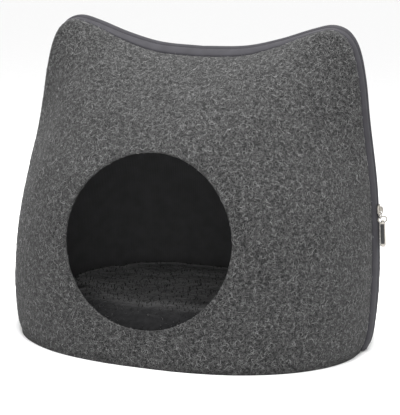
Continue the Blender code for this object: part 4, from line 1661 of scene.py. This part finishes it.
# ---------------------------------------------------------------- cushion
@dataclass
class Cushion:
    """Filled plush pad, inflated as cloth from a slightly smaller shape."""

    plush: bpy.types.Material
    merged: float = 0.01 * MM           # the solid's points closer than this become one
    voxel: float = 5.0 * MM
    shrink: float = 5.0 * MM            # how much smaller the pad starts
    reach: float = 7.0 * MM             # how far a point may swell
    pressure: float = 4.0
    quality: int = 6                    # the cloth's steps for each frame
    frames: int = 20
    rest: float = 4.3 * MM              # top of the felt floor, with a small gap
    seam_height: float = 21.0 * MM
    seam_depth: float = 1.6 * MM
    seam_width: float = 3.0 * MM
    waves: tuple = ((38 * MM, 1.2 * MM), (14 * MM, 0.5 * MM))    # unevenness: size, height
    hollow: float = 14.0 * MM           # depth of the hollow that use has pressed into its top
    wall: float = 0.45                  # share of the pad, from its middle, that is hollow
    fill: float = 0.7

    def start(self) -> bpy.types.Object:
        """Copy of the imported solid, merged, remeshed and shrunk along its normals.

        Returns:
            The pad.
        """
        bm = bmesh.new()
        bm.from_mesh(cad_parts["cushion"].data)
        bmesh.ops.remove_doubles(bm, verts=bm.verts, dist=self.merged)
        obj = object_from_bmesh("plush_cushion", bm, [self.plush])
        remesh = obj.modifiers.new("remesh", "REMESH")
        remesh.mode = "VOXEL"
        remesh.voxel_size = self.voxel
        plain_mesh(obj)
        obj.data.materials.clear()
        obj.data.materials.append(self.plush)
        self.swell(obj, -self.shrink)
        return obj

    def swell(self, obj: bpy.types.Object, by: float) -> None:
        """Move each point of the pad outwards along its normal."""
        for vert, normal in zip(obj.data.vertices, [v.normal.copy() for v in obj.data.vertices]):
            vert.co += normal * by

    def inflate(self, obj: bpy.types.Object) -> None:
        """Blow the pad up as cloth, with a cap on how far each point may go.

        Args:
            obj: the pad, which is changed.
        """
        scene = bpy.context.scene
        before = np.array([v.co for v in obj.data.vertices])
        cloth = obj.modifiers.new("cloth", "CLOTH")
        cloth.settings.use_pressure = True
        cloth.settings.uniform_pressure_force = self.pressure
        cloth.settings.effector_weights.gravity = 0.0
        cloth.settings.quality = self.quality
        cloth.point_cache.frame_start, cloth.point_cache.frame_end = 1, self.frames
        for step in range(1, self.frames + 1):
            scene.frame_set(step)
        graph = bpy.context.evaluated_depsgraph_get()
        after = np.array([v.co for v in obj.evaluated_get(graph).data.vertices])
        obj.modifiers.clear()
        scene.frame_set(1)
        move = after - before
        length = np.linalg.norm(move, axis=1)[:, None]
        move *= np.minimum(1.0, self.reach / np.maximum(length, 1e-9))
        obj.data.vertices.foreach_set("co", (before + move).ravel())

    def finish(self, obj: bpy.types.Object) -> None:
        """Subdivide once, draw in the seam, hollow the top and flatten the underside.

        Args:
            obj: the pad, which is changed.
        """
        smooth = obj.modifiers.new("smooth", "SUBSURF")
        smooth.levels = smooth.render_levels = 1
        plain_mesh(obj)
        low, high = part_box("cushion")
        mesh = obj.data
        for vert, normal in zip(mesh.vertices, [v.normal.copy() for v in mesh.vertices]):
            co = vert.co
            sag = sum(tall * noise.noise(co / size) for size, tall in self.waves)
            level = (co.z - self.seam_height) / self.seam_width
            groove = self.seam_depth * math.exp(-level * level) * math.hypot(normal.x, normal.y)
            co += normal * (sag - groove)
            away = math.hypot(*(2 * co[i] / (high[i] - low[i]) for i in (0, 1)))
            share = min(max((1 - away) / (1 - self.wall), 0.0), 1.0)
            if co.z > self.seam_height:
                co.z -= self.hollow * eased(share)
            co.x = min(max(co.x, low.x), high.x)
            co.y = min(max(co.y, low.y), high.y)
            co.z = min(max(co.z, self.rest), high.z)
        mesh.shade_smooth()

    def build(self) -> bpy.types.Object:
        """Returns:
            The cushion.
        """
        obj = self.start()
        self.inflate(obj)
        self.finish(obj)
        return obj


# ---------------------------------------------------------------- studio
@dataclass
class SoftLight:
    """A large soft box that looks at the cave."""

    name: str
    place: tuple[float, float, float]
    size: float
    power: float
    aim: tuple[float, float, float] = (0.0, 0.0, 0.15)

    def build(self) -> None:
        """Add the light."""
        light = bpy.data.lights.new(self.name, "AREA")
        light.shape = "DISK"
        light.size = self.size
        light.energy = self.power
        obj = linked(self.name, light)
        obj.location = self.place
        aim = Vector(self.aim) - obj.location
        obj.rotation_euler = aim.to_track_quat("-Z", "Y").to_euler()


@dataclass
class Camera:
    """The photograph's point of view."""

    azimuth: float = math.radians(18.80)     # to the right of the entrance's axis
    elevation: float = math.radians(9.975)   # downwards
    roll: float = math.radians(1.5475)
    distance: float = 1.4574
    target: tuple[float, float, float] = (0.0024, 0.0, 0.1305)
    sensor: float = 36.0
    lens: float = 123.27                     # for a frame of 400 by 415
    clip: tuple[float, float] = (0.05, 100.0)

    def build(self) -> None:
        """Add the camera and make it the scene's."""
        data = bpy.data.cameras.new("photo_view")
        data.sensor_width = self.sensor
        data.lens = self.lens
        data.clip_start, data.clip_end = self.clip
        obj = linked("photo_view", data)
        flat = math.cos(self.elevation)
        back = Vector((math.sin(self.azimuth) * flat, -math.cos(self.azimuth) * flat,
                       math.sin(self.elevation)))
        turn = (-back).to_track_quat("-Z", "Y").to_matrix() @ Matrix.Rotation(self.roll, 3, "Z")
        obj.matrix_world = (Matrix.Translation(Vector(self.target) + back * self.distance)
                            @ turn.to_4x4())
        bpy.context.scene.camera = obj


@dataclass
class Studio:
    """Pale seamless ground under soft light."""

    ground: float = 60.0
    sky: float = 1.0
    lights: list[SoftLight] = field(default_factory=lambda: [
        SoftLight("overhead", (0.1, -0.15, 1.3), 1.0, 29.0),
        SoftLight("front_fill", (0.5, -1.6, 0.6), 1.4, 6.5),
        SoftLight("left_rim", (-1.3, 1.2, 0.5), 0.5, 8.0),
    ])

    def build(self) -> None:
        """Add the ground, the sky's light and the soft boxes."""
        scene = bpy.context.scene
        scene.view_settings.view_transform = "Standard"
        world = bpy.data.worlds.new("studio")
        scene.world = world
        world.use_nodes = True
        feed(world.node_tree, world.node_tree.nodes["Background"],
             {"Color": (1.0, 1.0, 1.0, 1.0), "Strength": self.sky})
        bm = bmesh.new()
        bmesh.ops.create_grid(bm, x_segments=8, y_segments=8, size=self.ground / 2)
        floor = object_from_bmesh("studio_floor", bm, [StudioPaper().material()])
        for light in self.lights:
            light.build()
        Camera().build()


# ---------------------------------------------------------------- the whole cave
@dataclass
class CatCave:
    """The felt cat cave, put together from its sub-assemblies."""

    entrance: tuple = (-0.003, 0.1186, 0.0845, 0.0826)      # middle's X and Z, half axes
    felt: MelangeFelt = field(default_factory=MelangeFelt)

    def build(self) -> None:
        """Build every piece in the order in which the cave is put together."""
        felt, backing = self.felt.material(), BondedBacking().material()
        tape, nylon = WovenTape().material(), NylonCoil().material()
        front, back = PressedForm(Facing.FRONT), PressedForm(Facing.BACK)
        face = self.panel(FeltPanel("felt_front", front, felt, backing, self.entrance,
                                    area=0.128), "front_panel")
        rear = self.panel(FeltPanel("felt_back", back, felt, backing, rings=60), "back_panel")
        loose = SurfaceFibre().material()
        finish_piece(CurledFibres("front_fibres", face, loose, 52000.0).build(), Slot.FELT)
        finish_piece(CurledFibres("back_fibres", rear, loose, 46000.0, seed=24).build(),
                     Slot.FELT)
        self.floor(FeltFloor(front, back, felt))
        self.tape(ZipTape("tape_front", front, tape, crown=(0.4 * MM, 0.1 * MM)),
                  "zip_tape_front")
        self.tape(ZipTape("tape_back", back, tape, crown=(1.0 * MM, 3.0 * MM),
                          lip=(2.0 * MM, 0.32)), "zip_tape_back")
        finish_piece(ZipChain(front, nylon).build(), Slot.COIL, "zip_chain")
        slider = ZipSlider(front, NickelPlate().material(), MouldedInsert().material())
        for piece, slot, node in slider.pieces():
            finish_piece(piece, slot, node)
        cushion = Cushion(ShortPlush().material())
        pad = cushion.build()
        finish_piece(pad, Slot.PLUSH, "cushion")
        pile = CurledFibres("plush_pile", pad, cushion.plush, 40000.0, length=4.0 * MM,
                            radius=0.3 * MM, bends=(25, 50, 80), lean=32.0, upright=True,
                            foot=12.0 * MM)
        finish_piece(pile.build(), Slot.PLUSH)

    def panel(self, panel: FeltPanel, node: str) -> bpy.types.Object:
        """Build a felt panel and fasten it to the cave.

        Args:
            panel: the panel.
            node: the CAD node that it stands for.

        Returns:
            The finished object.
        """
        obj = panel.build()
        finish_piece(obj, Slot.FELT, node)
        return obj

    def floor(self, floor: FeltFloor) -> None:
        """Args:
            floor: the floor.
        """
        obj = floor.build()
        finish_piece(obj, Slot.FELT, "base_panel")

    def tape(self, tape: ZipTape, node: str) -> None:
        """Build a zip tape and fasten it to the cave.

        Args:
            tape: the tape.
            node: the CAD node that it stands for.
        """
        obj = tape.build()
        finish_piece(obj, Slot.TAPE, node)


def main() -> None:
    """Build the cave, the studio and the camera."""
    logging.basicConfig(level=logging.INFO, format="%(name)s: %(message)s")
    CatCave().build()
    Studio().build()


if __name__ == "__main__":
    main()
